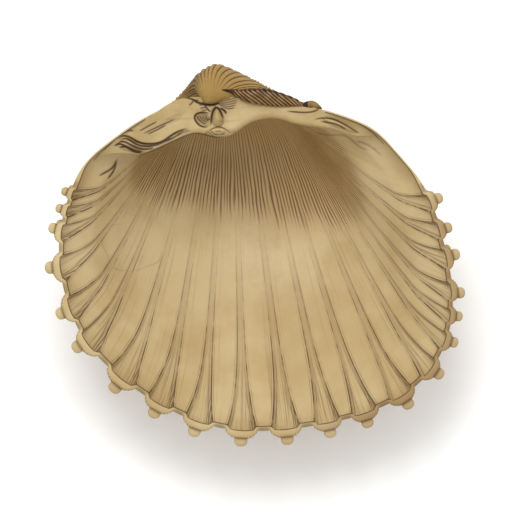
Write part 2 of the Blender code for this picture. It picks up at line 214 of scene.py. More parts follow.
@dataclass(frozen=True)
class Growth:
    """How the valve grew: its present edge, and the spiral that leads back from it to the beak."""

    edge_mm: tuple[Pair, ...] = (
        (18.2, -0.8), (22.0, -1.2), (27.0, -2.6), (33.0, -5.4), (37.4, -9.8), (43.0, -17.0), (46.6, -27.0),
        (48.6, -38.0), (47.2, -48.0), (42.0, -56.0), (33.0, -61.5), (20.0, -64.8), (4.0, -65.4),
        (-8.0, -61.5), (-18.5, -54.6), (-26.0, -46.0), (-29.6, -36.0), (-30.2, -27.0), (-28.4, -19.0),
        (-25.4, -12.6), (-20.6, -8.0), (-14.0, -3.4), (-9.0, -0.9),
    )
    samples: int = 4001
    aside_mm: float = 0.4
    rate: float = 0.745
    steep_edge_rad: float = 0.07
    lean_mm: float = 5.0
    sink_mm: float = 3.0
    sink_end_rad: float = 1.4
    drop_mm: float = 65.4
    bulge_mm: float = 5.5
    bulge_at_mm: float = 7.0
    bulge_steep_rad: float = 0.1
    bulge_end_rad: Pair = (0.5, 1.7)
    coil_rad: Pair = (1.0, 2.0)
    coil_share: float = 0.09
    front_coil_share: float = 0.06
    back_coil_share: float = 0.4
    back_coil_power: float = 1.2
    front_reach_mm: float = 30.2
    back_reach_mm: float = 48.6
    tip_rad: Pair = (2.0, 3.2)
    tip_lean_mm: float = 1.2

    @functools.cached_property
    def curve(self) -> tuple[Points, Points]:
        """The edge in small steps: its points, and their lengths along it."""
        points = natural_spline(self.edge_mm, self.samples)
        return points, np.concatenate([[0.0], np.cumsum(np.linalg.norm(np.diff(points, axis=0), axis=1))])

    @property
    def length(self) -> float:
        """Length of the whole edge."""
        return float(self.curve[1][-1])

    def edge(self, places: Points) -> tuple[Points, Points]:
        """Find the edge at some lengths along it.

        Args:
            places: Lengths along the edge, in an array of any shape.

        Returns:
            The points there, and the outward directions there.
        """
        points, lengths = self.curve

        def at(where: Points) -> Points:
            """Points of the edge at these lengths."""
            return np.stack([np.interp(where, lengths, points[:, axis]) for axis in range(2)], axis=-1)

        along = at(places + self.aside_mm) - at(places - self.aside_mm)
        along /= np.linalg.norm(along, axis=-1)[..., None]
        return at(places), np.stack([-along[..., 1], along[..., 0]], axis=-1)

    def shrink(self, angle: Points) -> Points:
        """Size of the edge at this angle back from the present one, which is 1."""
        eased = self.steep_edge_rad * (1.0 - np.exp(-angle / self.steep_edge_rad))
        return np.exp(-self.rate * (angle - eased))

    def inset(self, angle: Points) -> Points:
        """How far inside the lower edge this angle shows, square to the plane of the edge."""
        return self.drop_mm * (1.0 - self.shrink(angle) * np.cos(angle))

    def spiral(self, points: Points, angle: Points) -> Points:
        """Points of the present edge, as (U, V), carried back along the spiral by an angle.

        The beak coils tighter than the rest, most of all at its back, and its tip leans forward.
        """
        coil = smooth(*self.coil_rad, angle)
        size = self.shrink(angle) * (1.0 - self.coil_share * coil)
        front = np.clip(-points[..., 0] / self.front_reach_mm, 0.0, 1.0)
        back = np.clip(points[..., 0] / self.back_reach_mm, 0.0, 1.0) ** self.back_coil_power
        reach = points[..., 1] * size * (1.0 - self.back_coil_share * coil * back)
        u = points[..., 0] * size * (1.0 - self.front_coil_share * coil * front)
        u = u + self.lean_mm * np.sqrt(size) * (1.0 - size) - self.tip_lean_mm * smooth(*self.tip_rad, angle)
        from_hinge = np.abs(points[..., 1]) / self.bulge_at_mm
        bulge = self.bulge_mm * from_hinge * np.exp(1.0 - from_hinge)
        bulge = bulge * (1.0 - np.exp(-angle / self.bulge_steep_rad))
        bulge = bulge * (1.0 - smooth(*self.bulge_end_rad, angle))
        sunk = self.sink_mm * smooth(0.0, self.sink_end_rad, angle)
        return np.stack([u, reach * np.cos(angle), reach * np.sin(angle) - sunk - bulge], axis=-1)


@dataclass(frozen=True)
class Ribs:
    """The ribs along the edge, strong ones below and low ones on the slopes beside the hinge."""

    places_mm: tuple[float, ...] = (
        34.0, 40.0, 45.5, 53.0, 57.5, 62.5, 69.0, 77.0, 85.5, 93.0, 101.5,
        110.5, 119.5, 128.0, 137.0, 147.5, 154.5, 163.5, 171.0, 175.0, 178.5,
    )
    slope_places_mm: tuple[float, ...] = (
        5.5, 10.5, 15.5, 20.5, 25.5, 30.0, 183.0, 187.5, 192.0, 196.5, 201.0,
    )
    pitch_mm: float = 8.5
    height_mm: float = 1.75
    half_width: float = 0.36
    size_power: float = 0.8
    slope_columns: int = 72

    @property
    def shares(self) -> Points:
        """Each rib's pitch as a share of the full one."""
        return np.gradient(np.array(self.places_mm)) / self.pitch_mm

    def layout(self, half: Points, whole: float) -> dict[str, Points]:
        """Lay columns out along the edge.

        Args:
            half: For each row, distances from a rib's middle to halfway to the next, in pitches.
            whole: Length of the edge.

        Returns:
            For each row and column: the place along the edge, the distance from a rib's middle in pitches, a
            coordinate that grows by one from each rib to the next, the pitch there, and how large a rib is.
        """
        middles = np.array(self.places_mm)
        known = np.arange(-0.5, len(middles) - 0.5 + 1e-9, 0.5)
        known_at = np.interp(known, np.arange(len(middles)), middles)
        known_at[0] = 1.5 * middles[0] - 0.5 * middles[1]
        known_at[-1] = 1.5 * middles[-1] - 0.5 * middles[-2]

        one = np.concatenate([-half[:, ::-1][:, :-1], half[:, :-1]], axis=1)
        off = np.concatenate([np.tile(one, (1, len(middles))), half[:, -1:]], axis=1)
        rib = np.repeat(np.arange(len(middles)), one.shape[1])
        count = off + np.append(rib, len(middles) - 1)
        before = np.linspace(0.0, known_at[0], self.slope_columns + 1)[:-1]
        after = np.linspace(known_at[-1], whole, self.slope_columns + 1)[1:]
        count_before = known[0] + (before - known_at[0]) / self.pitch_mm
        count_after = known[-1] + (after - known_at[-1]) / self.pitch_mm
        plain = np.full(self.slope_columns, 0.5)

        def joined(first: Points, middle: Points, last: Points) -> Points:
            """The ribbed columns between those of the two slopes."""
            first, last = (np.tile(slope, (len(half), 1)) for slope in (first, last))
            return np.concatenate([first, middle, last], axis=1)

        places = joined(before, np.interp(count, known, known_at), after)
        pitch = np.interp(places, middles, np.gradient(middles))
        return {
            "places": places,
            "off": joined(plain, off, plain),
            "count": joined(count_before, count, count_after),
            "pitch": pitch,
            "size": (pitch / self.pitch_mm) ** self.size_power,
        }


@dataclass(frozen=True)
class Stroke:
    """A ridge, a groove or a dark line along a smooth curve, in the plane of the edge; its darkness is partly
    stain and partly painted shade.
    """

    path_mm: tuple[Pair, ...]
    half_width_mm: float
    height_mm: float = 0.0
    stain_and_shade: float = 0.0
    samples: int = 24

    def reach(self, u: Points, v: Points) -> Points:
        """How much of the stroke each place gets: 1 on its line, and 0 well away from it."""
        curve = np.array(self.path_mm)
        if len(curve) > 2:
            curve = natural_spline(curve, self.samples)
        near = np.full(u.shape, 1e9)
        along = np.zeros(u.shape)
        for i, (start, end) in enumerate(zip(curve[:-1], curve[1:])):
            step = end - start
            t = ((u - start[0]) * step[0] + (v - start[1]) * step[1]) / (step @ step + 1e-12)
            t = np.clip(t, 0.0, 1.0)
            away = np.hypot(u - start[0] - t * step[0], v - start[1] - t * step[1])
            closer = away < near
            near = np.where(closer, away, near)
            along = np.where(closer, (i + t) / (len(curve) - 1), along)
        taper = np.clip(6.0 * along * (1.0 - along), 0.0, 1.0) ** 0.7
        return np.exp(-((near / self.half_width_mm) ** 2)) * taper


@dataclass(frozen=True)
class Mound:
    """A rounded lump, or a pit if its height is negative, in the plane of the edge, which may carry a patch
    of painted shade.
    """

    middle_mm: Pair
    half_mm: Pair
    turn_deg: float
    height_mm: float
    stain_and_shade: float = 0.0
    power: float = 0.7
    flare: float = 0.0

    def within(self, u: Points, v: Points) -> Points:
        """Share of the mound's height at each place."""
        turn = math.radians(self.turn_deg)
        du, dv = u - self.middle_mm[0], v - self.middle_mm[1]
        b = (-du * math.sin(turn) + dv * math.cos(turn)) / self.half_mm[1]
        half = self.half_mm[0] * (1.0 - self.flare * np.clip(b, -1, 1))
        a = (du * math.cos(turn) + dv * math.sin(turn)) / half
        return np.clip(1.0 - a * a - b * b, 0.0, None) ** self.power


def carve(
    u: Points, v: Points, strokes: tuple[Stroke, ...], mounds: tuple[Mound, ...] = ()
) -> tuple[Points, Points]:
    """Add up relief, and stain with painted shade.

    Args:
        u: Places along the hinge.
        v: Places across it.
        strokes: Ridges, grooves and lines.
        mounds: Lumps and pits.

    Returns:
        The height at each place, and how dark its stain and painted shade are.
    """
    height = np.zeros(u.shape)
    stain_and_shade = np.zeros(u.shape)
    for stroke in strokes:
        reach = stroke.reach(u, v)
        height += stroke.height_mm * reach
        stain_and_shade = np.maximum(stain_and_shade, stroke.stain_and_shade * np.clip(STAIN_SPREAD * reach, 0.0, 1.0) ** 1.5)
    for mound in mounds:
        share = mound.within(u, v)
        height += mound.height_mm * share
        stain_and_shade = np.maximum(stain_and_shade, mound.stain_and_shade * share)
    return height, stain_and_shade


class Modeller:
    """Makes finished pieces from points, and puts them on their body."""

    def __init__(self, seat: Seat) -> None:
        """Keep the seat that every piece is laid down with."""
        self.seat = seat
        self.floor_z = 0.0

    def rest(self, points: Points) -> Points:
        """Points as they lie in the world, none of them under the floor."""
        world = self.seat.to_world(points.reshape(-1, 3))
        world[:, 2] = np.maximum(world[:, 2], self.floor_z)
        return world

    def sheet(self, name: str, points: Points) -> bpy.types.Object:
        """Add a grid and lay its points on these places.

        Args:
            name: Name of the piece.
            points: Rows of points in the shell's frame, in millimetres.

        Returns:
            The new object, with its place in its mesh.
        """
        rows, columns = points.shape[:2]
        bpy.ops.object.select_all(action="DESELECT")
        bpy.ops.mesh.primitive_grid_add(x_subdivisions=columns - 1, y_subdivisions=rows - 1, calc_uvs=False)
        made = bpy.context.object
        made.name = name
        made.data.name = name
        made.data.vertices.foreach_set("co", self.rest(points).astype(np.float32).ravel())
        return made

    @staticmethod
    def close(piece: bpy.types.Object, bridged: bool) -> None:
        """Close a piece's open edges and turn its faces outwards.

        Args:
            piece: The open piece.
            bridged: Whether its two open edges face each other, so that a band joins them.
        """
        bpy.context.view_layer.objects.active = piece
        bpy.ops.object.mode_set(mode="EDIT")
        bpy.ops.mesh.select_mode(type="EDGE")
        bpy.ops.mesh.select_all(action="DESELECT")
        bpy.ops.mesh.select_non_manifold(
            use_wire=False, use_boundary=True, use_multi_face=False, use_non_contiguous=False, use_verts=False
        )
        if bridged:
            bpy.ops.mesh.bridge_edge_loops()
        else:
            bpy.ops.mesh.fill_holes(sides=0)
        bpy.ops.mesh.select_all(action="SELECT")
        bpy.ops.mesh.normals_make_consistent(inside=False)
        bpy.ops.mesh.select_mode(type="VERT")
        bpy.ops.object.mode_set(mode="OBJECT")
        piece.data.shade_smooth()

    def skin(self, name: str, outer: Points, inner: Points) -> bpy.types.Object:
        """Make a closed piece from two grids of the same size that face each other."""
        piece = self.sheet(name, outer)
        other = self.sheet(name + "_inner", inner)
        bpy.ops.object.select_all(action="DESELECT")
        piece.select_set(True)
        other.select_set(True)
        bpy.context.view_layer.objects.active = piece
        bpy.ops.object.join()
        self.close(piece, bridged=True)
        return piece

    def tube(self, name: str, rings: Points, chart: Chart, values: Points) -> bpy.types.Object:
        """Make a closed tube from rings of points.

        Args:
            name: Name of the piece.
            rings: Its rings, from one end to the other.
            chart: Name of the number that its points carry.
            values: That number for each point.

        Returns:
            The tube, with both ends capped.
        """
        piece = self.sheet(name, np.concatenate([rings, rings[:, :1]], axis=1))
        self.set_values(piece, chart, np.concatenate([values, values[:, :1]], axis=1))
        bpy.ops.object.mode_set(mode="EDIT")
        bpy.ops.mesh.select_all(action="SELECT")
        bpy.ops.mesh.remove_doubles(threshold=1e-7)
        bpy.ops.object.mode_set(mode="OBJECT")
        self.close(piece, bridged=False)
        return piece

    @staticmethod
    def from_lowest(round_it: tuple[int, ...]) -> tuple[int, ...]:
        """A face's points, taken round from the one with the lowest number."""
        first = round_it.index(min(round_it))
        return round_it[first:] + round_it[:first]

    def copies(self, name: str, lump: bpy.types.Object, places: list[Points]) -> bpy.types.Object:
        """Make one piece of many copies of a lump, and take the lump away.

        Args:
            name: Name of the piece.
            lump: The modelled lump.
            places: For each copy its points in the shell's frame, in millimetres.

        Returns:
            The new piece.
        """
        size = len(lump.data.vertices)
        one = sorted(self.from_lowest(tuple(face.vertices)) for face in lump.data.polygons)
        faces = [tuple(size * copy + n for n in face) for copy in range(len(places)) for face in one]
        mesh = bpy.data.meshes.new(name)
        mesh.from_pydata(self.rest(np.concatenate(places)).tolist(), [], faces)
        mesh.shade_smooth()
        made = bpy.data.objects.new(name, mesh)
        bpy.context.scene.collection.objects.link(made)
        bpy.data.objects.remove(lump, do_unlink=True)
        return made

    @staticmethod
    def set_values(piece: bpy.types.Object, chart: Chart, values: Points) -> None:
        """Give each point of the piece a number."""
        attribute = piece.data.attributes.new(chart.value, "FLOAT", "POINT")
        attribute.data.foreach_set("value", values.reshape(-1).astype(np.float32))

    @staticmethod
    def set_map(piece: bpy.types.Object, chart: Chart, across: Points, along: Points) -> None:
        """Give the piece a map made of two numbers for each of its points."""
        layer = piece.data.uv_layers.new(name=chart.value)
        corners = np.empty(len(piece.data.loops), np.int32)
        piece.data.loops.foreach_get("vertex_index", corners)
        pairs = np.stack([across.reshape(-1)[corners], along.reshape(-1)[corners]], axis=1)
        layer.data.foreach_set("uv", pairs.reshape(-1).astype(np.float32))

    @staticmethod
    def finish(piece: bpy.types.Object, material: bpy.types.Material, slot: Slot, *nodes: Node) -> None:
        """Dress a piece, put it on the valve's body and hide the solids it stands for."""
        piece.data.materials.clear()
        piece.data.materials.append(material)
        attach(piece, Body.ROOT.value)
        if nodes:
            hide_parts(*[node.value for node in nodes])
        LOG.info("%s: %d points, %d faces", piece.name, len(piece.data.vertices), len(piece.data.polygons))


def tint(red: int, green: int, blue: int) -> Triple:
    """A colour given by its display values, as the shader's linear one."""

    def linear(value: int) -> float:
        """One channel."""
        share = value / 255.0
        return share / 12.92 if share <= 0.04045 else ((share + 0.055) / 1.055) ** 2.4

    return linear(red), linear(green), linear(blue)


class Graph:
    """Wires the nodes of one material."""

    def __init__(self, name: str) -> None:
        """Start an empty material of this name."""
        self.material = bpy.data.materials.new(name)
        self.material.use_nodes = True
        self.tree = self.material.node_tree
        self.shader = self.tree.nodes["Principled BSDF"]

    def feed(self, socket: Socket, value: object) -> None:
        """Link a socket to another, or set it to a number or colour."""
        if isinstance(value, Socket):
            self.tree.links.new(value, socket)
        elif isinstance(value, tuple) and socket.type == "RGBA":
            socket.default_value = (*value, 1.0)
        else:
            socket.default_value = value

    def feed_all(self, node: bpy.types.Node, values: dict[str | int, object]) -> bpy.types.Node:
        """Feed a node's inputs, given by name or number, and return the node."""
        for name, value in values.items():
            self.feed(node.inputs[name], value)
        return node

    def number(self, chart: Chart) -> Socket:
        """A number that the piece's points carry."""
        node = self.tree.nodes.new("ShaderNodeAttribute")
        node.attribute_name = chart.value
        return node.outputs["Fac"]

    def place(self) -> Socket:
        """Place on the piece, in metres."""
        return self.tree.nodes.new("ShaderNodeTexCoord").outputs["Object"]

    def chart(self, chart: Chart) -> tuple[Socket, Socket]:
        """The two numbers of one of the piece's maps."""
        node = self.tree.nodes.new("ShaderNodeUVMap")
        node.uv_map = chart.value
        parts = self.feed_all(self.tree.nodes.new("ShaderNodeSeparateXYZ"), {0: node.outputs[0]})
        return parts.outputs[0], parts.outputs[1]

    def vector(self, x: object, y: object) -> Socket:
        """Two numbers as one vector."""
        return self.feed_all(self.tree.nodes.new("ShaderNodeCombineXYZ"), {0: x, 1: y}).outputs[0]

    def apply(self, operation: str, *values: object) -> Socket:
        """The result of an operation on numbers."""
        node = self.tree.nodes.new("ShaderNodeMath")
        node.operation = operation
        return self.feed_all(node, dict(enumerate(values))).outputs[0]

    def minus(self, first: object, second: object) -> Socket:
        """One number less another."""
        return self.apply("SUBTRACT", first, second)

    def gap(self, first: object, second: object) -> Socket:
        """How far two numbers are apart."""
        return self.apply("ABSOLUTE", self.minus(first, second))

    def plus(self, *values: object) -> Socket:
        """Numbers added together."""
        return functools.reduce(functools.partial(self.apply, "ADD"), values)

    def times(self, *values: object) -> Socket:
        """Numbers multiplied together."""
        return functools.reduce(functools.partial(self.apply, "MULTIPLY"), values)

    def most(self, *values: object) -> Socket:
        """The largest of some numbers."""
        return functools.reduce(functools.partial(self.apply, "MAXIMUM"), values)

    def noise(self, where: object, scale: float = 1.0, detail: float = 3.0, rough: float = 0.6) -> Socket:
        """Soft random values around a half."""
        node = self.tree.nodes.new("ShaderNodeTexNoise")
        self.feed_all(node, {"Vector": where, "Scale": scale, "Detail": detail, "Roughness": rough})
        return node.outputs["Fac"]

    def ease(self, value: object, low: float, high: float, first: float = 0.0, last: float = 1.0) -> Socket:
        """A value eased from one range to another and kept in it; low may be over high."""
        node = self.tree.nodes.new("ShaderNodeMapRange")
        node.interpolation_type = "SMOOTHSTEP"
        if low > high:
            low, high, first, last = high, low, last, first
        return self.feed_all(node, dict(enumerate((value, low, high, first, last)))).outputs[0]

    def near(self, value: object, line: float, outer: float, inner: float) -> Socket:
        """1 where a value is within inner of a line, and 0 from outer on."""
        return self.ease(self.gap(value, line), outer, inner)

    def stripes(self, value: object, rate: float, edge: float, soft: float) -> Socket:
        """Lines across a growing value: how much each place is on a line.

        Args:
            value: The growing value.
            rate: Lines for each unit of it.
            edge: Half width of a line, as a share of the space from line to line.
            soft: How much wider its soft edge is.

        Returns:
            1 on a line and 0 between lines.
        """
        scaled = self.times(value, rate)
        return self.ease(self.gap(scaled, self.apply("ROUND", scaled)), edge + soft, edge)

    def mix(self, share: object, first: object, second: object) -> Socket:
        """Two colours mixed."""
        node = self.tree.nodes.new("ShaderNodeMix")
        node.data_type = "RGBA"
        return self.feed_all(node, {0: share, 6: first, 7: second}).outputs[2]

    def dress(
        self, colour: object, sheen: float, roughness: object, relief: object, depth_m: float, strength: float
    ) -> bpy.types.Material:
        """Finish the material.

        Args:
            colour: Colour of the surface.
            sheen: How strongly it mirrors.
            roughness: How dull it is.
            relief: Height of its fine relief, in shares of its depth.
            depth_m: Depth of the relief.
            strength: How much of the relief shows.

        Returns:
            The material.
        """
        bump = self.tree.nodes.new("ShaderNodeBump")
        self.feed_all(bump, {"Strength": strength, "Distance": depth_m, "Height": relief})
        values = {"Base Color": colour, "Specular IOR Level": sheen, "Roughness": roughness}
        self.feed_all(self.shader, {**values, "Normal": bump.outputs[0]})
        return self.material


@dataclass(frozen=True)
class ShellFinish:
    """Chalky tan shell: mottled and rayed, with brown lines along its ribs and growth bands outside, and
    painted shade in its flutes, in the hollow under the hinge plate, on one flank of the beak and on the
    knobs.
    """

    pale: Triple = tint(190, 169, 127)
    tan: Triple = tint(175, 151, 106)
    golden: Triple = tint(152, 123, 66)
    brown: Triple = tint(120, 84, 44)
    line: Triple = tint(66, 38, 16)
    rust: Triple = tint(124, 90, 50)
    painted_cavity_shade_tint: Triple = tint(164, 124, 72)
    sheen: float = 0.22
    relief_m: float = 0.00018
    scar_middle_mm: Pair = (-15.4, -28.8)
    scar_half_mm: Pair = (6.4, 4.8)
    ray_rate: float = 9.0
    hatch_per_rib: float = 5.5
    tick_per_rib: float = 15.0
    corner_hatch_per_rib: float = 21.0

    def build(self, name: str) -> bpy.types.Material:
        """Make the material of this name."""
        g = Graph(name)
        rib, angle = g.chart(Chart.GROWTH)
        inside = g.number(Chart.INSIDE)
        outside = g.minus(1.0, inside)
        place = g.place()
        rays = g.noise(g.vector(g.times(rib, self.ray_rate), g.times(angle, 1.3)), 1.0, 5.0, 0.62)
        age = g.noise(g.vector(g.times(rib, 0.15), g.times(angle, 26.0)), 1.0, 4.0)
        mottle = g.noise(place, 60.0, 4.0, 0.55)
        grain = g.noise(place, 900.0)

        body = g.mix(g.ease(mottle, 0.36, 0.66), self.pale, self.tan)
        inner = g.mix(g.times(g.ease(rays, 0.56, 0.7), 0.3), body, self.brown)
        # Painted shade: the hollow under the hinge plate is tinted darker brown.
        inner = g.mix(g.times(g.number(Chart.PAINTED_CAVITY_SHADE), 0.4), inner, self.painted_cavity_shade_tint)
        inner = g.mix(self.inner_lines_and_shade(g, rib, angle), inner, self.line)
        colour = g.mix(inside, self.outer_colour(g, rib, angle, age, body), inner)

        at_edge = g.times(g.ease(angle, 0.05, 0.015), g.ease(rib, 10.5, 8.0), g.ease(rib, -0.6, 0.6), 0.55)
        colour = g.mix(g.times(at_edge, g.ease(inside, 0.95, 0.4)), colour, self.rust)
        rim_line = g.times(g.ease(angle, 0.004, 0.0015), g.ease(inside, 0.35, 0.6), 0.85)
        # The crease numbers carry stained lines and scars, and painted shade at the knobs' feet and
        # undersides.
        colour = g.mix(g.most(g.number(Chart.CREASE), rim_line), colour, self.line)
        roughness = g.ease(g.plus(grain, g.times(outside, 0.5)), 0.3, 1.1, 0.42, 0.72)
        relief = g.plus(g.times(rays, 0.4), g.times(grain, 0.3), g.times(age, outside, 1.6))
        return g.dress(colour, self.sheen, roughness, relief, self.relief_m, 0.55)

    def inner_lines_and_shade(self, g: Graph, rib: Socket, angle: Socket) -> Socket:
        """How dark the lines and the painted shade of the inner face are.

        Args:
            g: The material's graph.
            rib: Coordinate that grows by one from each rib to the next.
            angle: Angle back from the edge.

        Returns:
            0 for clean shell and 1 for a full line or full painted shade.
        """
        beside = g.number(Chart.FLUTE)
        broken = g.ease(g.noise(g.vector(g.times(rib, 3.0), g.times(angle, 14.0))), 0.36, 0.56, 0.4, 1.0)
        side = g.near(beside, 0.0, 0.2, 0.05)
        twin = g.times(g.near(beside, -0.55, 0.15, 0.04), g.ease(angle, 0.45, 0.1), 0.75)
        far = g.times(g.near(beside, 0.45, 0.14, 0.04), g.ease(angle, 0.6, 0.2), 0.45)
        # Painted shade: a soft dark band inside each flute near its sides.
        soft = g.times(g.near(beside, -0.35, 0.8, 0.1), 0.28)
        # Painted shade: dark streaks on the flute floors near the edge.
        streaks = g.noise(g.vector(g.times(rib, 30.0), g.times(angle, 3.0)))
        streaks = g.times(g.ease(streaks, 0.5, 0.64), g.ease(beside, 0.0, -0.25), 0.5)
        streaks = g.times(streaks, g.ease(angle, 0.4, 0.1))
        lines = g.most(g.times(g.most(side, twin, far), broken), soft, streaks)
        lines = g.times(lines, g.ease(angle, 0.95, 0.08, 0.0, 0.9))

        # Painted shade: hatching on one side of each flute near the edge.
        corner = g.ease(g.minus(g.times(angle, 11.0), beside), 1.9, 1.3)
        low_side = g.ease(g.minus(rib, g.apply("ROUND", rib)), 0.0, -0.04)
        hatch = g.stripes(rib, self.corner_hatch_per_rib, 0.1, 0.18)
        corner = g.times(corner, g.ease(beside, 0.02, -0.1), low_side, hatch, 0.8)
        return g.most(lines, corner, self.painted_cavity_shade_hatch(g, rib, angle), self.scar(g))

    def painted_cavity_shade_hatch(self, g: Graph, rib: Socket, angle: Socket) -> Socket:
        """How dark the painted shade in the hollow under the beak is: long fine hatch lines under the hinge
        plate.
        """
        sway = g.noise(g.vector(g.times(rib, 1.6), g.times(angle, 3.0)), 1.0, 2.0, 0.5)
        broken = g.noise(g.vector(g.times(rib, 9.0), g.times(angle, 3.0)), 1.0, 2.0, 0.5)
        length = g.noise(g.vector(g.times(rib, 4.0), g.times(angle, 0.8)))
        ragged = g.ease(g.plus(g.number(Chart.PAINTED_CAVITY_SHADE), g.times(length, 1.3)), 0.75, 1.35)
        lines = g.stripes(g.plus(rib, g.times(sway, 0.3)), self.hatch_per_rib, 0.08, 0.24)
        deep = g.ease(angle, 1.5, 0.9, 0.3, 0.78)
        return g.times(lines, ragged, g.ease(broken, 0.25, 0.5, 0.45, 1.0), deep)

    def scar(self, g: Graph) -> Socket:
        """How dark the outline of the muscle scar is."""
        across, along = g.chart(Chart.PLAN)
        u = g.times(g.minus(across, self.scar_middle_mm[0]), 1.0 / self.scar_half_mm[0])
        v = g.times(g.minus(along, self.scar_middle_mm[1]), 1.0 / self.scar_half_mm[1])
        wobble = g.times(g.noise(g.vector(across, along), 0.22, 1.0, 0.5), 0.5)
        reach = g.plus(g.apply("SQRT", g.plus(g.times(u, u), g.times(v, v))), wobble)
        return g.times(g.near(reach, 1.25, 0.035, 0.012), g.ease(g.plus(u, v), 0.9, 0.3), 0.2)

    def outer_colour(self, g: Graph, rib: Socket, angle: Socket, age: Socket, body: Socket) -> Socket:
        """Colour of the outer face.

        Args:
            g: The material's graph.
            rib: Coordinate that grows by one from each rib to the next.
            angle: Angle back from the edge.
            age: Noise that runs along the growth lines.
            body: Colour of the clean shell.

        Returns:
            The colour, with growth bands, dark valleys, painted shade on one flank of the beak and along the
            lobes' outer rim, and ticks on the lobes at the edge.
        """
        body = g.mix(g.ease(angle, 0.9, 1.8), body, self.golden)
        bands = g.times(g.ease(age, 0.44, 0.62), g.ease(angle, 0.9, 1.9, 0.36, 0.22))
        body = g.mix(g.times(bands, g.ease(angle, 0.02, 0.09)), body, self.brown)
        off = g.gap(rib, g.apply("ROUND", rib))
        on_slopes = g.times(g.ease(rib, -1.8, -0.4, 0.2, 1.0), g.ease(rib, 21.8, 20.4, 0.2, 1.0))
        valley = g.times(g.ease(off, 0.3, 0.45), g.ease(angle, 0.1, 1.5, 0.42, 0.92), on_slopes)
        body = g.mix(g.times(valley, g.ease(angle, 3.7, 2.8, 0.1, 1.0)), body, self.line)
        # Painted shade: the beak's front flank is darker.
        shaded = g.times(g.ease(rib, 11.5, 16.0), g.ease(angle, 1.5, 2.0), g.ease(angle, 3.4, 2.6), 0.5)
        body = g.mix(shaded, body, self.line)
        band = g.times(g.ease(angle, 0.024, 0.017), g.ease(angle, 0.003, 0.008), g.ease(off, 0.4, 0.36))
        ribbed = g.times(g.ease(rib, -0.5, -0.4), g.ease(rib, 20.5, 20.4))
        ticks = g.times(g.stripes(rib, self.tick_per_rib, 0.07, 0.14), band, ribbed, 0.6)
        # Painted shade: a thin dark line along the lobes' outer rim, where the rounded edge turns out of
        # view.
        outline = g.times(g.near(angle, 0.0185, 0.0075, 0.0045), ribbed, 0.7)
        return g.mix(g.most(ticks, outline), body, self.line)


@dataclass(frozen=True)
class PlateFinish:
    """Smooth pale shell of the hinge plate, darkened brown along its creases by stain and painted shade."""

    pale: Triple = tint(177, 155, 111)
    tan: Triple = tint(161, 137, 92)
    line: Triple = tint(58, 32, 14)
    sheen: float = 0.22
    relief_m: float = 0.00012
    streak_turn_deg: float = -30.0
    streak_scale: Triple = (120.0, 1100.0, 300.0)

    def build(self, name: str) -> bpy.types.Material:
        """Make the material of this name."""
        g = Graph(name)
        place = g.place()
        mottle = g.noise(place, 140.0, 4.0, 0.55)
        grain = g.noise(place, 1100.0)
        colour = g.mix(g.ease(mottle, 0.38, 0.68), self.pale, self.tan)
        turn = (0.0, 0.0, math.radians(self.streak_turn_deg))
        stretch = g.tree.nodes.new("ShaderNodeMapping")
        g.feed_all(stretch, {"Rotation": turn, "Scale": self.streak_scale, "Vector": place})
        streaks = g.noise(stretch.outputs["Vector"], 1.0, 4.0)
        colour = g.mix(g.times(g.ease(streaks, 0.54, 0.72), 0.22), colour, self.line)
        # Stained lines, and painted shade in pits and below the folds.
        colour = g.mix(g.number(Chart.CREASE), colour, self.line)
        relief = g.plus(grain, streaks)
        return g.dress(colour, self.sheen, g.ease(grain, 0.3, 0.7, 0.38, 0.55), relief, self.relief_m, 0.5)


@dataclass(frozen=True)
class LigamentFinish:
    """Dry horn: dark brown, with painted highlight on its ridges."""

    ridge: Triple = tint(144, 113, 68)
    horn: Triple = tint(74, 44, 22)
    dark: Triple = tint(32, 15, 6)
    sheen: float = 0.15
    relief_m: float = 0.0001

    def build(self, name: str) -> bpy.types.Material:
        """Make the material of this name."""
        g = Graph(name)
        fibre = g.noise(g.place(), 700.0, 4.0)
        colour = g.mix(g.ease(fibre, 0.35, 0.7), self.dark, self.horn)
        # Painted highlight on the ridges, broken up at random.
        worn = g.ease(g.noise(g.place(), 420.0), 0.34, 0.56, 0.45, 0.95)
        colour = g.mix(g.times(g.ease(g.number(Chart.RIDGE), 0.25, 0.65), worn), colour, self.ridge)
        return g.dress(colour, self.sheen, g.ease(fibre, 0.3, 0.7, 0.4, 0.6), fibre, self.relief_m, 0.6)


@dataclass(frozen=True)
class FloorFinish:
    """Plain pale floor."""

    colour: Triple = (0.96, 0.96, 0.96)
    roughness: float = 0.9

    def build(self, name: str) -> bpy.types.Material:
        """Make the material of this name."""
        g = Graph(name)
        g.feed_all(g.shader, {"Base Color": self.colour, "Roughness": self.roughness})
        return g.material


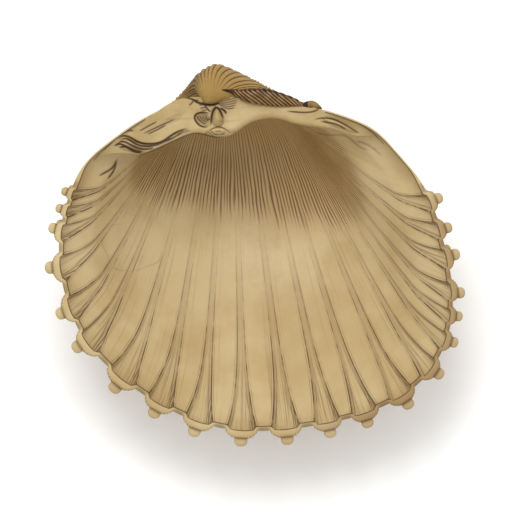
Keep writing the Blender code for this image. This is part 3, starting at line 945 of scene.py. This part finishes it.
@dataclass
class Wall:
    """The wall of the valve: ribbed outside, fluted inside, rounded at the edge."""

    growth: Growth
    ribs: Ribs
    rim_mm: float = 1.1
    plain_rim_share: float = 0.45
    rim_face_mm: float = 0.35
    rounding_rad: float = 0.02
    wall_gain_mm: float = 2.3
    umbo_gain_mm: float = 1.2
    flute_mm: float = 0.9
    flute_width: Pair = (0.1, 0.22)
    flute_flare_mm: float = 5.5
    flute_side: float = 0.045
    flute_fade_mm: Pair = (4.5, 24.0)
    bead: float = 0.14
    end_taper_mm: float = 14.0
    end_sink_mm: Pair = (2.1, 1.3)
    end_sink_length_mm: float = 8.0
    core_stretch: Pair = (1.1, 0.4)
    cavity_end_rad: Pair = (1.15, 2.3)
    cavity_shade_mm: Pair = (-26.5, -13.5)
    cavity_shade_slope: float = 0.13
    beak_worn_rad: Pair = (2.6, 3.6)
    scars_end_rad: float = 1.2
    slope_rib_mm: float = 0.6
    slope_rib_half_mm: float = 1.75
    halts_rad: tuple[float, ...] = (0.09, 0.21, 0.36, 0.52, 0.7, 0.92, 1.2)
    halt_mm: float = 0.3

    def strokes(self) -> tuple[Stroke, ...]:
        """Scars and creases of the inner face."""
        return (
            Stroke(((-18.5, -11.1), (-19.4, -12.8), (-20.6, -13.7), (-22.3, -14.6)), 0.2, -0.2, 0.85),
            Stroke(((-18.7, -11.5), (-19.2, -13.4), (-20.5, -15.2)), 0.2, -0.2, 0.85),
            Stroke(((20.6, -5.6), (23.6, -6.4), (27.2, -6.6), (29.6, -8.6), (31.6, -9.4)), 0.18, -0.15, 0.35),
            Stroke(((29.0, -7.6), (31.4, -8.3), (34.4, -10.6)), 0.18, -0.15, 0.4),
        )

    def sunk(self, places: Points, angles: Points) -> Points:
        """How far the wall's two ends sink, down to where the hinge plate begins."""
        whole = self.growth.length
        from_end = np.minimum(places, whole - places)
        deepest = np.where(places < whole / 2.0, *self.end_sink_mm)
        deepest = deepest * (1.0 - smooth(0.0, self.end_sink_length_mm, from_end))
        return deepest * (1.0 - smooth(0.1, 0.4, angles))

    def rim(self, places: Points) -> Points:
        """Width of the rim, which is narrower on the plain slopes than along the ribs."""
        first, last = self.ribs.places_mm[0], self.ribs.places_mm[-1]
        ribbed = smooth(first - 8.0, first - 2.0, places) * (1.0 - smooth(last + 2.0, last + 8.0, places))
        return self.rim_mm * (self.plain_rim_share + (1.0 - self.plain_rim_share) * ribbed)

    def outer_rows(self) -> Points:
        """Angles of the outer face's rows, close together at the edge."""
        rim = np.array([0.0, 0.0012, 0.003, 0.0055, 0.009, 0.013, 0.0175, 0.023, 0.032])
        near = np.arange(0.045, 1.2, 0.03)
        far = np.arange(1.2, 2.6, 0.055)
        return np.concatenate([rim, near, far, np.linspace(2.6, 4.7, 14)])

    def inner_rows(self, count: int) -> Points:
        """Angles of the inner face's rows, as many as the outer face has."""
        rim = np.array([0.0, 0.003, 0.008, 0.014, 0.021])
        near = np.arange(0.03, 0.32, 0.0105)
        deep = np.array([2.3, 3.2, 4.7])
        middle = np.linspace(0.325, 2.15, count - len(rim) - len(near) - len(deep))
        return np.concatenate([rim, near, middle, deep])

    def spread(self, half: Points, angles: Points) -> tuple[dict[str, Points], Points, Points]:
        """Lay out a face's columns, with the edge's points and outward directions there."""
        columns = self.ribs.layout(half, self.growth.length)
        columns["angle"] = angles + 0.0 * columns["places"]
        edge, outward = self.growth.edge(columns["places"])
        return columns, edge, outward

    def outer_face(self) -> tuple[Points, dict[str, Points]]:
        """Work out the outer face's points, and where its columns are."""
        angles = self.outer_rows()[:, None]
        wide = self.ribs.half_width
        up_the_rib = np.array([0.0, 0.17, 0.33, 0.48, 0.62, 0.75, 0.87, 0.96]) * wide
        half = np.tile(np.concatenate([up_the_rib, np.linspace(wide, 0.5, 3)]), (len(angles), 1))
        columns, edge, outward = self.spread(half, angles)
        places = columns["places"]
        crest = lobe(columns["off"], wide) * columns["size"]
        worn = 1.0 - 0.75 * smooth(*self.beak_worn_rad, angles)
        height = self.ribs.height_mm * crest * worn
        for middle in self.ribs.slope_places_mm:
            low = lobe(places - middle, self.slope_rib_half_mm)
            height = height + low * self.slope_rib_mm * smooth(0.15, 1.0, angles) * worn
        for halt in self.halts_rad:
            before = np.clip(halt - angles, 0.0, None)
            step = np.exp(-(((angles - halt) / 0.012) ** 2)) + 0.6 * smooth(0.0, 0.05, before)
            fade = np.exp(-before / 0.03) * smooth(0.04, 0.08, angles)
            height = height - self.halt_mm * np.clip(step, 0.0, 1.0) * fade
        rim = self.flute_mm * crest - self.rim(places) + self.rim_face_mm
        rounding = 1.0 - np.sqrt(1.0 - (1.0 - np.clip(angles / self.rounding_rad, 0.0, 1.0)) ** 2)
        height = height + (rim - height) * rounding
        points = self.growth.spiral(edge + outward * height[..., None], angles)
        points[..., 2] -= self.sunk(places, angles)
        return points, columns

    def inner_face(self, rows: int) -> tuple[Points, dict[str, Points]]:
        """Work out the inner face's points, and where its columns are and how far from a flute's side."""
        angles = self.inner_rows(rows)[:, None]
        back = self.growth.inset(angles)
        width = self.flute_width[0] + self.flute_width[1] * np.exp(-back / self.flute_flare_mm)
        floor = (width - self.flute_side) * np.array([[0.0, 0.3, 0.55, 0.8, 1.0]])
        side = width - self.flute_side * np.array([[0.5, 0.0]])
        panel = width + (0.5 - width) * np.array([[0.12, 0.35, 0.68, 1.0]])
        columns, edge, outward = self.spread(np.concatenate([floor, side, panel], axis=1), angles)
        places, away = columns["places"], np.abs(columns["off"])
        flute = 1.0 - smooth(-self.flute_side, 0.0, away - width)
        flute = flute * (1.0 - 0.15 * (away / width) ** 2)
        bead = self.bead * np.exp(-(((away - width - 0.02) / 0.03) ** 2)) * smooth(0.0, 0.02, angles)
        fade = 0.8 * np.exp(-back / self.flute_fade_mm[0]) + 0.2 * np.exp(-back / self.flute_fade_mm[1])
        depth = self.flute_mm * fade * (flute - bead) * columns["size"]
        gain = self.wall_gain_mm * smooth(0.0, 0.22, angles) + self.umbo_gain_mm * smooth(0.3, 1.6, angles)
        whole, shrink = self.growth.length, self.growth.shrink(angles)
        taper = 0.15 + 0.85 * smooth(0.0, self.end_taper_mm, np.minimum(places, whole - places))
        inward = (self.rim(places) - depth + gain * taper) / shrink
        hollow = edge - outward * inward[..., None]
        share = places[..., None] / whole
        core = (edge[:, :1] * (1.0 - share) + edge[:, -1:] * share) * np.array(self.core_stretch)
        closing = smooth(*self.cavity_end_rad, angles)[..., None]
        points = self.growth.spiral(hollow * (1.0 - closing) + core * closing, angles)
        points[..., 2] -= self.sunk(places, angles)
        columns["flute"] = (away - width) * columns["pitch"] * shrink
        return points, columns

    def build(self, modeller: Modeller, material: bpy.types.Material) -> bpy.types.Object:
        """Make the wall.

        Args:
            modeller: What lays pieces down.
            material: The wall's finish.

        Returns:
            The wall's object.
        """
        outer, outside = self.outer_face()
        inner, inside = self.inner_face(len(outer))
        height, stain_and_shade = carve(inner[..., 0], inner[..., 1], self.strokes())
        shown = (inside["angle"] < self.scars_end_rad) * smooth(0.0, 0.04, inside["angle"])
        inner[..., 2] += height * shown
        wall = modeller.skin("valve_wall", outer, inner)
        # Where the painted shade of the hollow under the hinge plate lies; it reaches lower towards the
        # ligament's side.
        lowered = inner[..., 1] + self.cavity_shade_slope * inner[..., 0]
        painted_cavity_shade = smooth(*self.cavity_shade_mm, lowered) * smooth(0.4, 0.75, inside["angle"])
        maps = {
            Chart.GROWTH: [(face["count"], face["angle"]) for face in (outside, inside)],
            Chart.PLAN: [(face[..., 0], face[..., 1]) for face in (outer, inner)],
        }
        for chart, sides in maps.items():
            modeller.set_map(wall, chart, *(np.concatenate(pair) for pair in zip(*sides)))
        blank = np.zeros(outer.shape[:2])
        for chart, out_value, in_value in (
            (Chart.INSIDE, blank, blank + 1.0),
            (Chart.CREASE, blank, stain_and_shade * shown),
            (Chart.FLUTE, blank + 5.0, inside["flute"]),
            (Chart.PAINTED_CAVITY_SHADE, blank, painted_cavity_shade),
        ):
            modeller.set_values(wall, chart, np.concatenate([out_value, in_value]))
        modeller.finish(wall, material, Slot.SHELL, Node.VALVE)
        return wall


@dataclass
class Knobs:
    """The knobs on the ribs: full ones at the edge, and rows of them back along every rib."""

    growth: Growth
    ribs: Ribs
    radius_mm: float = 1.15
    reach_mm: float = 0.12
    edge_angle_rad: float = 0.017
    edge_half: Triple = (1.0, 1.12, 1.04)
    spacing_rad: float = 0.085
    last_rad: float = 2.3
    row_share: float = 0.8
    row_stretch: float = 1.2
    wear: Pair = (0.35, 0.75)
    more_worn_from: int = 9
    worn_rad: Pair = (1.1, 2.0)
    cut: float = -0.35
    square: float = 0.88
    painted_foot_shade: float = 0.55
    painted_underside_shade: float = 0.42
    past_ticks_rad: float = 0.034

    def lump(self, segments: int, rings: int) -> bpy.types.Object:
        """Model one rounded knob: a ball with its foot cut flat."""
        bpy.ops.object.select_all(action="DESELECT")
        bpy.ops.mesh.primitive_uv_sphere_add(segments=segments, ring_count=rings, radius=1.0)
        bpy.ops.object.mode_set(mode="EDIT")
        bpy.ops.mesh.select_all(action="SELECT")
        bpy.ops.mesh.bisect(
            plane_co=(0.0, 0.0, self.cut), plane_no=(0.0, 0.0, -1.0), use_fill=True, clear_outer=True
        )
        bpy.ops.mesh.select_all(action="SELECT")
        bpy.ops.mesh.normals_make_consistent(inside=False)
        bpy.ops.object.mode_set(mode="OBJECT")
        return bpy.context.object

    def placed(self, shape: Points, rib: int, angle: float, at_edge: bool) -> Points:
        """Points of a lump of this shape on a rib.

        Args:
            shape: Points of the lump, about one unit high.
            rib: Number of the rib.
            angle: Angle back from the edge.
            at_edge: Whether this is the full knob at the rib's end.

        Returns:
            The points, in the shell's frame.
        """
        share = self.ribs.shares[rib]
        point, away = self.growth.edge(np.array(self.ribs.places_mm[rib]))
        half = self.radius_mm * share**0.4
        reach = self.ribs.height_mm * share**self.ribs.size_power
        reach += self.reach_mm * share**0.4 if at_edge else 0.0
        line = self.growth.spiral(np.stack([point + away * reach] * 2), np.array([angle, angle + 0.01]))
        lift = self.growth.spiral(np.stack([point, point + away]), np.array([angle, angle]))
        along = line[1] - line[0]
        along /= np.linalg.norm(along)
        out = lift[1] - lift[0]
        out -= along * (out @ along)
        out /= np.linalg.norm(out)
        turn = np.stack([along, np.cross(out, along), out], axis=1)
        sizes = half * np.array(self.edge_half)
        if not at_edge:
            wear = self.wear[rib >= self.more_worn_from]
            worn = 1.0 - wear * float(smooth(*self.worn_rad, np.array(angle)))
            size = float(self.growth.shrink(np.array(angle)))
            sizes = half * self.row_share * size * np.array([self.row_stretch, 1.0, worn])
        return line[0] + (shape * sizes) @ turn.T

    def under(self, points: Points) -> Points:
        """Painted shade on the side of a knob that faces the ground."""
        above = (points[:, 2] - points[:, 2].mean()) / self.radius_mm
        return self.painted_underside_shade * (1.0 - smooth(0.1, 0.6, above))

    def build(self, modeller: Modeller, material: bpy.types.Material) -> None:
        """Make the knobs at the edge and the rows behind them, as two pieces.

        Args:
            modeller: What lays pieces down.
            material: The knobs' finish.
        """
        ribs = range(len(self.ribs.places_mm))
        rows = np.arange(self.edge_angle_rad + self.spacing_rad, self.last_rad, self.spacing_rad)
        ends = [(rib, self.edge_angle_rad) for rib in ribs]
        behind = [(rib, float(row + 0.5 * self.spacing_rad * (rib % 2))) for rib in ribs for row in rows]
        for name, spots, lump in (
            ("edge_knobs", ends, self.lump(20, 12)),
            ("rib_knobs", behind, self.lump(8, 6)),
        ):
            shape = np.array([vertex.co for vertex in lump.data.vertices])
            # Painted shade: a dark band where each knob's foot meets its rib.
            foot = self.painted_foot_shade * (1.0 - smooth(self.cut, self.cut + 0.22, shape[:, 2]))
            foot = np.tile(foot, len(spots))
            shape = np.sign(shape) * np.abs(shape) ** self.square
            copies = [self.placed(shape, rib, angle, spots is ends) for rib, angle in spots]
            if spots is ends:
                # Painted shade on the underside of the knobs at the edge.
                foot = np.maximum(foot, np.concatenate([self.under(points) for points in copies]))
            knobs = modeller.copies(name, lump, copies)
            count, back = (np.repeat(np.array(column, float), len(shape)) for column in zip(*spots))
            zero = np.zeros(len(count))
            modeller.set_map(knobs, Chart.GROWTH, count, np.maximum(back, self.past_ticks_rad))
            for chart in (Chart.INSIDE, Chart.FLUTE, Chart.PAINTED_CAVITY_SHADE):
                modeller.set_values(knobs, chart, zero)
            modeller.set_map(knobs, Chart.PLAN, zero, zero)
            modeller.set_values(knobs, Chart.CREASE, foot)
            modeller.finish(knobs, material, Slot.SHELL)


@dataclass
class HingePlate:
    """The hinge plate: a thick shelf inside the hinge, with its teeth, socket, folds and grooves."""

    stations_mm: tuple[tuple[Triple, Triple, float], ...] = (
        ((-24.0, -11.0, -1.2), (-22.6, -12.2, -2.2), 1.5),
        ((-20.8, -8.6, -0.6), (-17.2, -11.1, -2.2), 2.0),
        ((-16.6, -4.8, -0.5), (-12.8, -10.1, -1.8), 2.6),
        ((-13.0, -2.8, -0.5), (-8.8, -8.4, -1.6), 3.0),
        ((-9.4, -0.8, -0.6), (-5.9, -7.1, -1.6), 3.4),
        ((-6.0, 0.8, -1.2), (-3.3, -6.2, -1.5), 3.8),
        ((-2.6, 1.2, -2.4), (-0.8, -6.5, -1.4), 4.2),
        ((0.6, 1.2, -3.0), (1.8, -7.0, -1.6), 4.4),
        ((4.0, 1.2, -3.0), (4.8, -6.1, -2.0), 4.2),
        ((8.0, 1.0, -2.6), (8.0, -4.0, -1.8), 4.0),
        ((13.0, 0.6, -2.4), (13.0, -3.1, -1.4), 3.6),
        ((18.0, 0.0, -1.8), (18.0, -4.4, -1.4), 3.2),
        ((22.4, -1.2, -0.7), (23.6, -5.1, -1.4), 2.8),
        ((27.0, -2.8, -0.5), (28.4, -6.5, -1.6), 2.4),
        ((31.2, -4.8, -0.6), (32.0, -7.6, -2.0), 1.8),
        ((34.8, -7.8, -1.2), (34.8, -9.2, -2.4), 1.4),
    )
    steps: int = 460
    front_points: int = 62
    nose_points: int = 12
    nose_share: float = 0.32
    back_share: float = 0.6
    end_share: float = 0.13
    end_width: float = 0.12
    end_thickness: float = 0.4
    end_sink_mm: float = 0.9
    tuck_mm: float = 0.38
    tucked_front_mm: Pair = (-8.5, -12.5)
    tucked_back_mm: Pair = (18.5, 23.0)
    tucked_twice_mm: Pair = (-21.8, -23.6)

    def strokes(self) -> tuple[Stroke, ...]:
        """The plate's folds, grooves and stained lines."""
        folds = (
            ((-18.5, -7.2), (-17.5, -6.6), (-16.0, -6.9), (-14.2, -7.9), (-11.7, -8.2), (-9.5, -7.7),
             (-7.4, -6.3), (-5.5, -5.4), (-4.3, -5.1)),
            ((-18.3, -7.7), (-16.9, -7.1), (-15.1, -8.0), (-13.5, -8.6), (-11.1, -8.5), (-8.9, -7.7),
             (-7.1, -6.8), (-5.2, -5.7), (-3.7, -5.6)),
            ((-18.8, -8.3), (-17.5, -7.7), (-16.0, -8.3), (-14.2, -9.1), (-12.3, -9.2), (-11.0, -8.9)),
            ((-19.2, -8.8), (-18.3, -8.2), (-16.6, -8.8), (-14.8, -9.6), (-13.2, -9.7)),
            ((-18.2, -8.9), (-16.9, -8.8), (-15.4, -9.6), (-13.5, -10.0)),
        )
        grooves = (
            ((-14.2, -5.7), (-12.4, -4.7), (-10.5, -3.7)),
            ((-13.4, -6.2), (-10.0, -4.6), (-6.8, -3.2)),
            ((-12.6, -6.3), (-10.6, -5.4), (-8.6, -4.3)),
            ((-17.4, -6.0), (-16.5, -5.56), (-15.2, -5.56)),
        )
        fan = tuple(((1.5, -0.1), (3.6, 0.55 - 0.42 * n), (6.0 - 0.25 * n, 1.3 - 0.55 * n)) for n in range(5))
        ticks = (((-2.2, -0.5), (-1.1, -0.2)), ((-2.0, -1.1), (-0.7, -0.8)), ((-1.7, -1.6), (-0.5, -1.3)))
        socket_lines = tuple(
            (
                (-2.7 + 0.55 * n, -2.5 - 0.05 * n),
                (-1.9 + 0.5 * n, -3.6 + 0.1 * n),
                (-0.7 + 0.25 * n, -4.3 + 0.4 * n),
            )
            for n in range(4)
        )
        socket_side = (
            (-0.3, -4.7), (-1.3, -4.8), (-2.6, -4.0), (-3.1, -2.8), (-2.5, -2.1), (-0.9, -1.9), (0.0, -2.3),
        )
        lip = (
            ((-1.3, -6.5), (-0.1, -5.5), (1.6, -4.8), (3.0, -5.2), (4.1, -6.0)),
            ((-0.4, -6.3), (1.0, -5.7), (3.2, -5.8)),
            ((0.2, -6.5), (1.6, -6.2), (3.0, -6.2)),
        )
        free_edge = (
            (-18.6, -11.3), (-15.0, -10.7), (-12.4, -9.9), (-9.0, -8.4), (-6.0, -7.1), (-3.2, -6.15),
            (-0.8, -6.4), (1.6, -6.9), (4.0, -6.4),
        )
        nymph = (
            ((15.3, -1.6), (18.7, -1.9), (20.7, -1.7), (22.0, -1.1)),
            ((22.2, -0.7), (25.3, -1.7), (28.0, -3.0)),
            ((20.7, -3.4), (23.0, -3.0), (25.3, -3.5), (27.6, -4.7), (30.0, -6.2)),
            ((22.0, -3.7), (25.3, -4.3), (27.3, -5.4)),
        )
        tooth = (
            ((0.2, -4.6), (0.3, -3.0), (0.7, -1.5), (1.3, -0.9), (1.9, -1.4), (2.4, -2.4), (2.8, -3.3)),
            ((1.9, -1.1), (2.7, -1.4), (3.3, -2.2)),
        )
        under_beak = ((-4.2, 1.2), (-2.6, 0.2), (-0.8, -0.3), (1.2, -0.2), (2.6, 0.6), (4.0, 0.9))
        alike = (
            (folds, 0.21, -0.3, 0.95),
            (grooves, 0.16, -0.15, 0.75),
            (fan, 0.12, -0.1, 0.75),
            (ticks, 0.13, -0.1, 0.85),
            (socket_lines, 0.13, -0.12, 0.85),
            (lip, 0.13, -0.1, 0.75),
            (nymph, 0.16, -0.15, 0.85),
            (tooth, 0.2, -0.25, 1.0),
        )
        return (
            *(Stroke(path, *sizes) for paths, *sizes in alike for path in paths),
            Stroke(socket_side, 0.17, -0.1, 0.95),
            Stroke(free_edge, 0.15, 0.0, 0.85),
            Stroke(under_beak, 0.24, -0.1, 1.0),
            Stroke(((-6.4, 1.2), (-4.4, 1.0), (-3.2, 0.6), (-2.0, 0.5)), 0.16, -0.12, 0.9),
            Stroke(((-3.2, 0.6), (-3.7, -0.1), (-4.2, -0.5)), 0.15, -0.1, 0.85),
            Stroke(((-1.5, 0.4), (-0.7, -0.9), (0.2, -1.9)), 0.15, -0.12, 0.95),
            Stroke(((1.4, -0.1), (0.8, -1.0), (0.2, -1.9)), 0.12, -0.05, 0.6),
        )

    def mounds(self) -> tuple[Mound, ...]:
        """The plate's teeth and pits, and patches of painted shade."""
        return (
            Mound((1.5, -2.8), (1.1, 1.9), 6.0, 2.1, flare=0.45),
            # Painted shade darkens the socket.
            Mound((-1.4, -3.3), (1.8, 1.3), -36.0, -1.3, stain_and_shade=0.3),
            Mound((-15.2, -8.8), (3.8, 1.1), -12.0, 1.1),
            # A flat patch of painted shade below the folds.
            Mound((-14.7, -8.9), (2.2, 0.9), -18.0, 0.0, stain_and_shade=0.65),
            # Painted shade in a shallow pit.
            Mound((-7.4, -3.4), (2.4, 0.9), 28.0, -0.2, stain_and_shade=0.2),
            Mound((1.6, -5.6), (2.6, 0.8), 4.0, 0.5),
            Mound((26.0, -4.4), (3.8, 0.7), -22.0, 1.2),
        )

    def section(self, row: Points) -> list[Points]:
        """Points of one section: across the front, round the free edge, and back underneath.

        Args:
            row: Outer edge, free edge and thickness at this step.

        Returns:
            The section's points.
        """
        up = np.array([0.0, 0.0, 1.0])
        outer, free, thickness = row[:3], row[3:6], row[6]
        across = free - outer
        across[2] = 0.0
        across /= np.linalg.norm(across)
        nose = thickness * self.nose_share
        free = free - across * nose
        points = [outer + (free - outer) * t for t in np.linspace(0.0, 1.0, self.front_points)]
        for turn in np.linspace(0.0, math.pi, self.nose_points + 1)[1:]:
            points.append(free + across * nose * math.sin(turn) - up * nose * (1.0 - math.cos(turn)))
        back = outer - up * (self.back_share * thickness + 0.4)
        under = (free - up * 2.0 * nose + back) / 2.0 - up * 0.3 * thickness
        return [*points, (points[-1] + under) / 2.0, under, (under + back) / 2.0, back]

    def build(self, modeller: Modeller, material: bpy.types.Material) -> bpy.types.Object:
        """Make the plate.

        Args:
            modeller: What lays pieces down.
            material: The plate's finish.

        Returns:
            The plate's object.
        """
        flat = [(*outer, *free, thickness) for outer, free, thickness in self.stations_mm]
        rows = natural_spline(flat, self.steps)
        along = np.linspace(0.0, 1.0, self.steps)
        wide = smooth(0.0, self.end_share, np.minimum(along, 1.0 - along))[:, None]
        width = self.end_width + (1.0 - self.end_width) * wide
        rows[:, 3:6] = rows[:, :3] + (rows[:, 3:6] - rows[:, :3]) * width
        inward = rows[:, 3:5] - rows[:, :2]
        inward /= np.linalg.norm(inward, axis=1)[:, None]
        u = rows[:, :1]
        walled = np.maximum(smooth(*self.tucked_front_mm, u), smooth(*self.tucked_back_mm, u))
        tuck = inward * self.tuck_mm * (walled + smooth(*self.tucked_twice_mm, u))
        rows[:, 6:] *= self.end_thickness + (1.0 - self.end_thickness) * wide
        rows[:, :2] += tuck
        rows[:, 3:5] += tuck * (1.0 - wide)
        rows[:, 2:6:3] -= self.end_sink_mm * (1.0 - wide)
        rings = np.array([self.section(row) for row in rows])
        shown = self.front_points + self.nose_points // 2
        height, stain_and_shade = carve(rings[:, :shown, 0], rings[:, :shown, 1], self.strokes(), self.mounds())
        rings[:, :shown, 2] += height * smooth(-1.0, 3.0, np.arange(shown))
        crease = np.zeros(rings.shape[:2])
        crease[:, :shown] = stain_and_shade
        plate = modeller.tube("hinge_plate", rings, Chart.CREASE, crease)
        modeller.finish(plate, material, Slot.SHELL)
        return plate


@dataclass
class Ligament:
    """The horny strip behind the beak, ridged aslant, with a knob at its far end."""

    form: LigamentForm = field(default_factory=LigamentForm)
    steps: int = 240
    sides: int = 40
    ridges: float = 21.0
    lean: float = 1.3
    groove_share: float = 0.09
    knob_highlight: float = 0.55
    dip_mm: float = 0.85
    dip_at_mm: float = 4.8
    dip_half_mm: float = 1.9

    def build(self, modeller: Modeller, material: bpy.types.Material) -> bpy.types.Object:
        """Make the ligament.

        Args:
            modeller: What lays pieces down.
            material: The ligament's finish.

        Returns:
            The ligament's object.
        """
        rings = self.form.rings(self.steps, self.sides)
        axis = rings.mean(axis=1, keepdims=True)
        along = np.linspace(0.0, 1.0, self.steps)[:, None]
        lean = (rings[..., 1] - axis[..., 1]) * self.lean
        waves = 0.5 + 0.5 * np.cos(2.0 * math.pi * (self.ridges * along + lean))
        body = smooth(0.06, 0.16, along) * (1.0 - smooth(0.72, 0.78, along))
        half = np.abs(rings[..., 1] - axis[..., 1]).max(axis=1, keepdims=True)
        top = smooth(0.6, 0.85, (rings[..., 1] - axis[..., 1]) / half)
        # Painted highlight on the ridges and on the end knob; the top edge stays dark.
        ridge = waves * body * (1.0 - top) + self.knob_highlight * smooth(0.79, 0.82, along)
        groove = self.groove_share * (1.0 - waves) * body
        rings = axis + (rings - axis) * (1.0 - groove)[..., None]
        rings[..., 2] -= self.dip_mm * np.exp(-(((rings[..., 0] - self.dip_at_mm) / self.dip_half_mm) ** 2))
        ligament = modeller.tube("ligament_strip", rings, Chart.RIDGE, ridge)
        modeller.finish(ligament, material, Slot.LIGAMENT, Node.LIGAMENT)
        return ligament


@dataclass
class Studio:
    """Floor, light and camera."""

    seat: Seat
    view_middle_mm: Triple = (9.2, -30.6, 0.0)
    view_width_mm: float = 102.4
    camera_height_m: float = 0.6
    floor_side_m: float = 3.0
    key_watts: float = 2.6
    key_side_m: float = 0.35
    key_at_m: Triple = (-0.06, 0.24, 0.65)
    sky: float = 0.93

    def build(self) -> None:
        """Make the floor, the lamp, the sky and the camera."""
        bpy.ops.object.select_all(action="DESELECT")
        bpy.ops.mesh.primitive_plane_add(size=self.floor_side_m)
        floor = bpy.context.object
        floor.name = "floor"
        floor.data.materials.append(FloorFinish().build("pale_floor"))
        floor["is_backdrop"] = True

        scene = bpy.context.scene
        world = bpy.data.worlds.new("studio_sky")
        world.use_nodes = True
        background = world.node_tree.nodes["Background"]
        background.inputs["Color"].default_value = (1.0, 1.0, 1.0, 1.0)
        background.inputs["Strength"].default_value = self.sky
        scene.world = world
        scene.view_settings.view_transform = "Standard"

        self.lamp("key_light", self.key_at_m, self.key_side_m, self.key_watts)
        self.camera()

    def lamp(self, name: str, at: Triple, side: float, watts: float) -> None:
        """Add a square soft light that looks at the shell."""
        light = bpy.data.lights.new(name, "AREA")
        light.shape = "SQUARE"
        light.size = side
        light.energy = watts
        lamp = bpy.data.objects.new(name, light)
        lamp.location = at
        lamp.rotation_euler = (-Vector(at)).to_track_quat("-Z", "Y").to_euler()
        bpy.context.scene.collection.objects.link(lamp)

    def camera(self) -> None:
        """Add a camera square to the plane of the valve's edge."""
        data = bpy.data.cameras.new("camera")
        data.type = "ORTHO"
        data.ortho_scale = self.view_width_mm * MM
        data.clip_end = 5.0
        camera = bpy.data.objects.new("camera", data)
        right = self.seat.direction((1.0, 0.0, 0.0))
        up = self.seat.direction((0.0, 1.0, 0.0))
        back = self.seat.direction((0.0, 0.0, 1.0))
        middle = Vector(self.seat.to_world(np.array([self.view_middle_mm]))[0])
        turn = Matrix((right, up, back)).transposed()
        camera.matrix_world = Matrix.Translation(middle + back * self.camera_height_m) @ turn.to_4x4()
        bpy.context.scene.collection.objects.link(camera)
        bpy.context.scene.camera = camera


def corners() -> list[list[float]]:
    """Lowest and highest corner of what shows now, as plain lists."""
    return [list(corner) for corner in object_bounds()]


def main() -> None:
    """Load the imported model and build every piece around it."""
    logging.basicConfig(level=logging.INFO, format="%(message)s")
    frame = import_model()
    LOG.info("solids: %s", ", ".join(frame["nodes"]))
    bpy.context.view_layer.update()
    seat = Seat()
    modeller = Modeller(seat)
    growth = Growth()
    ribs = Ribs()
    shell = ShellFinish().build("shell_wall")
    Wall(growth, ribs).build(modeller, shell)
    Knobs(growth, ribs).build(modeller, shell)
    HingePlate().build(modeller, PlateFinish().build("shell_hinge"))
    Ligament().build(modeller, LigamentFinish().build("horn"))
    Studio(seat).build()


if __name__ == "__main__":
    main()
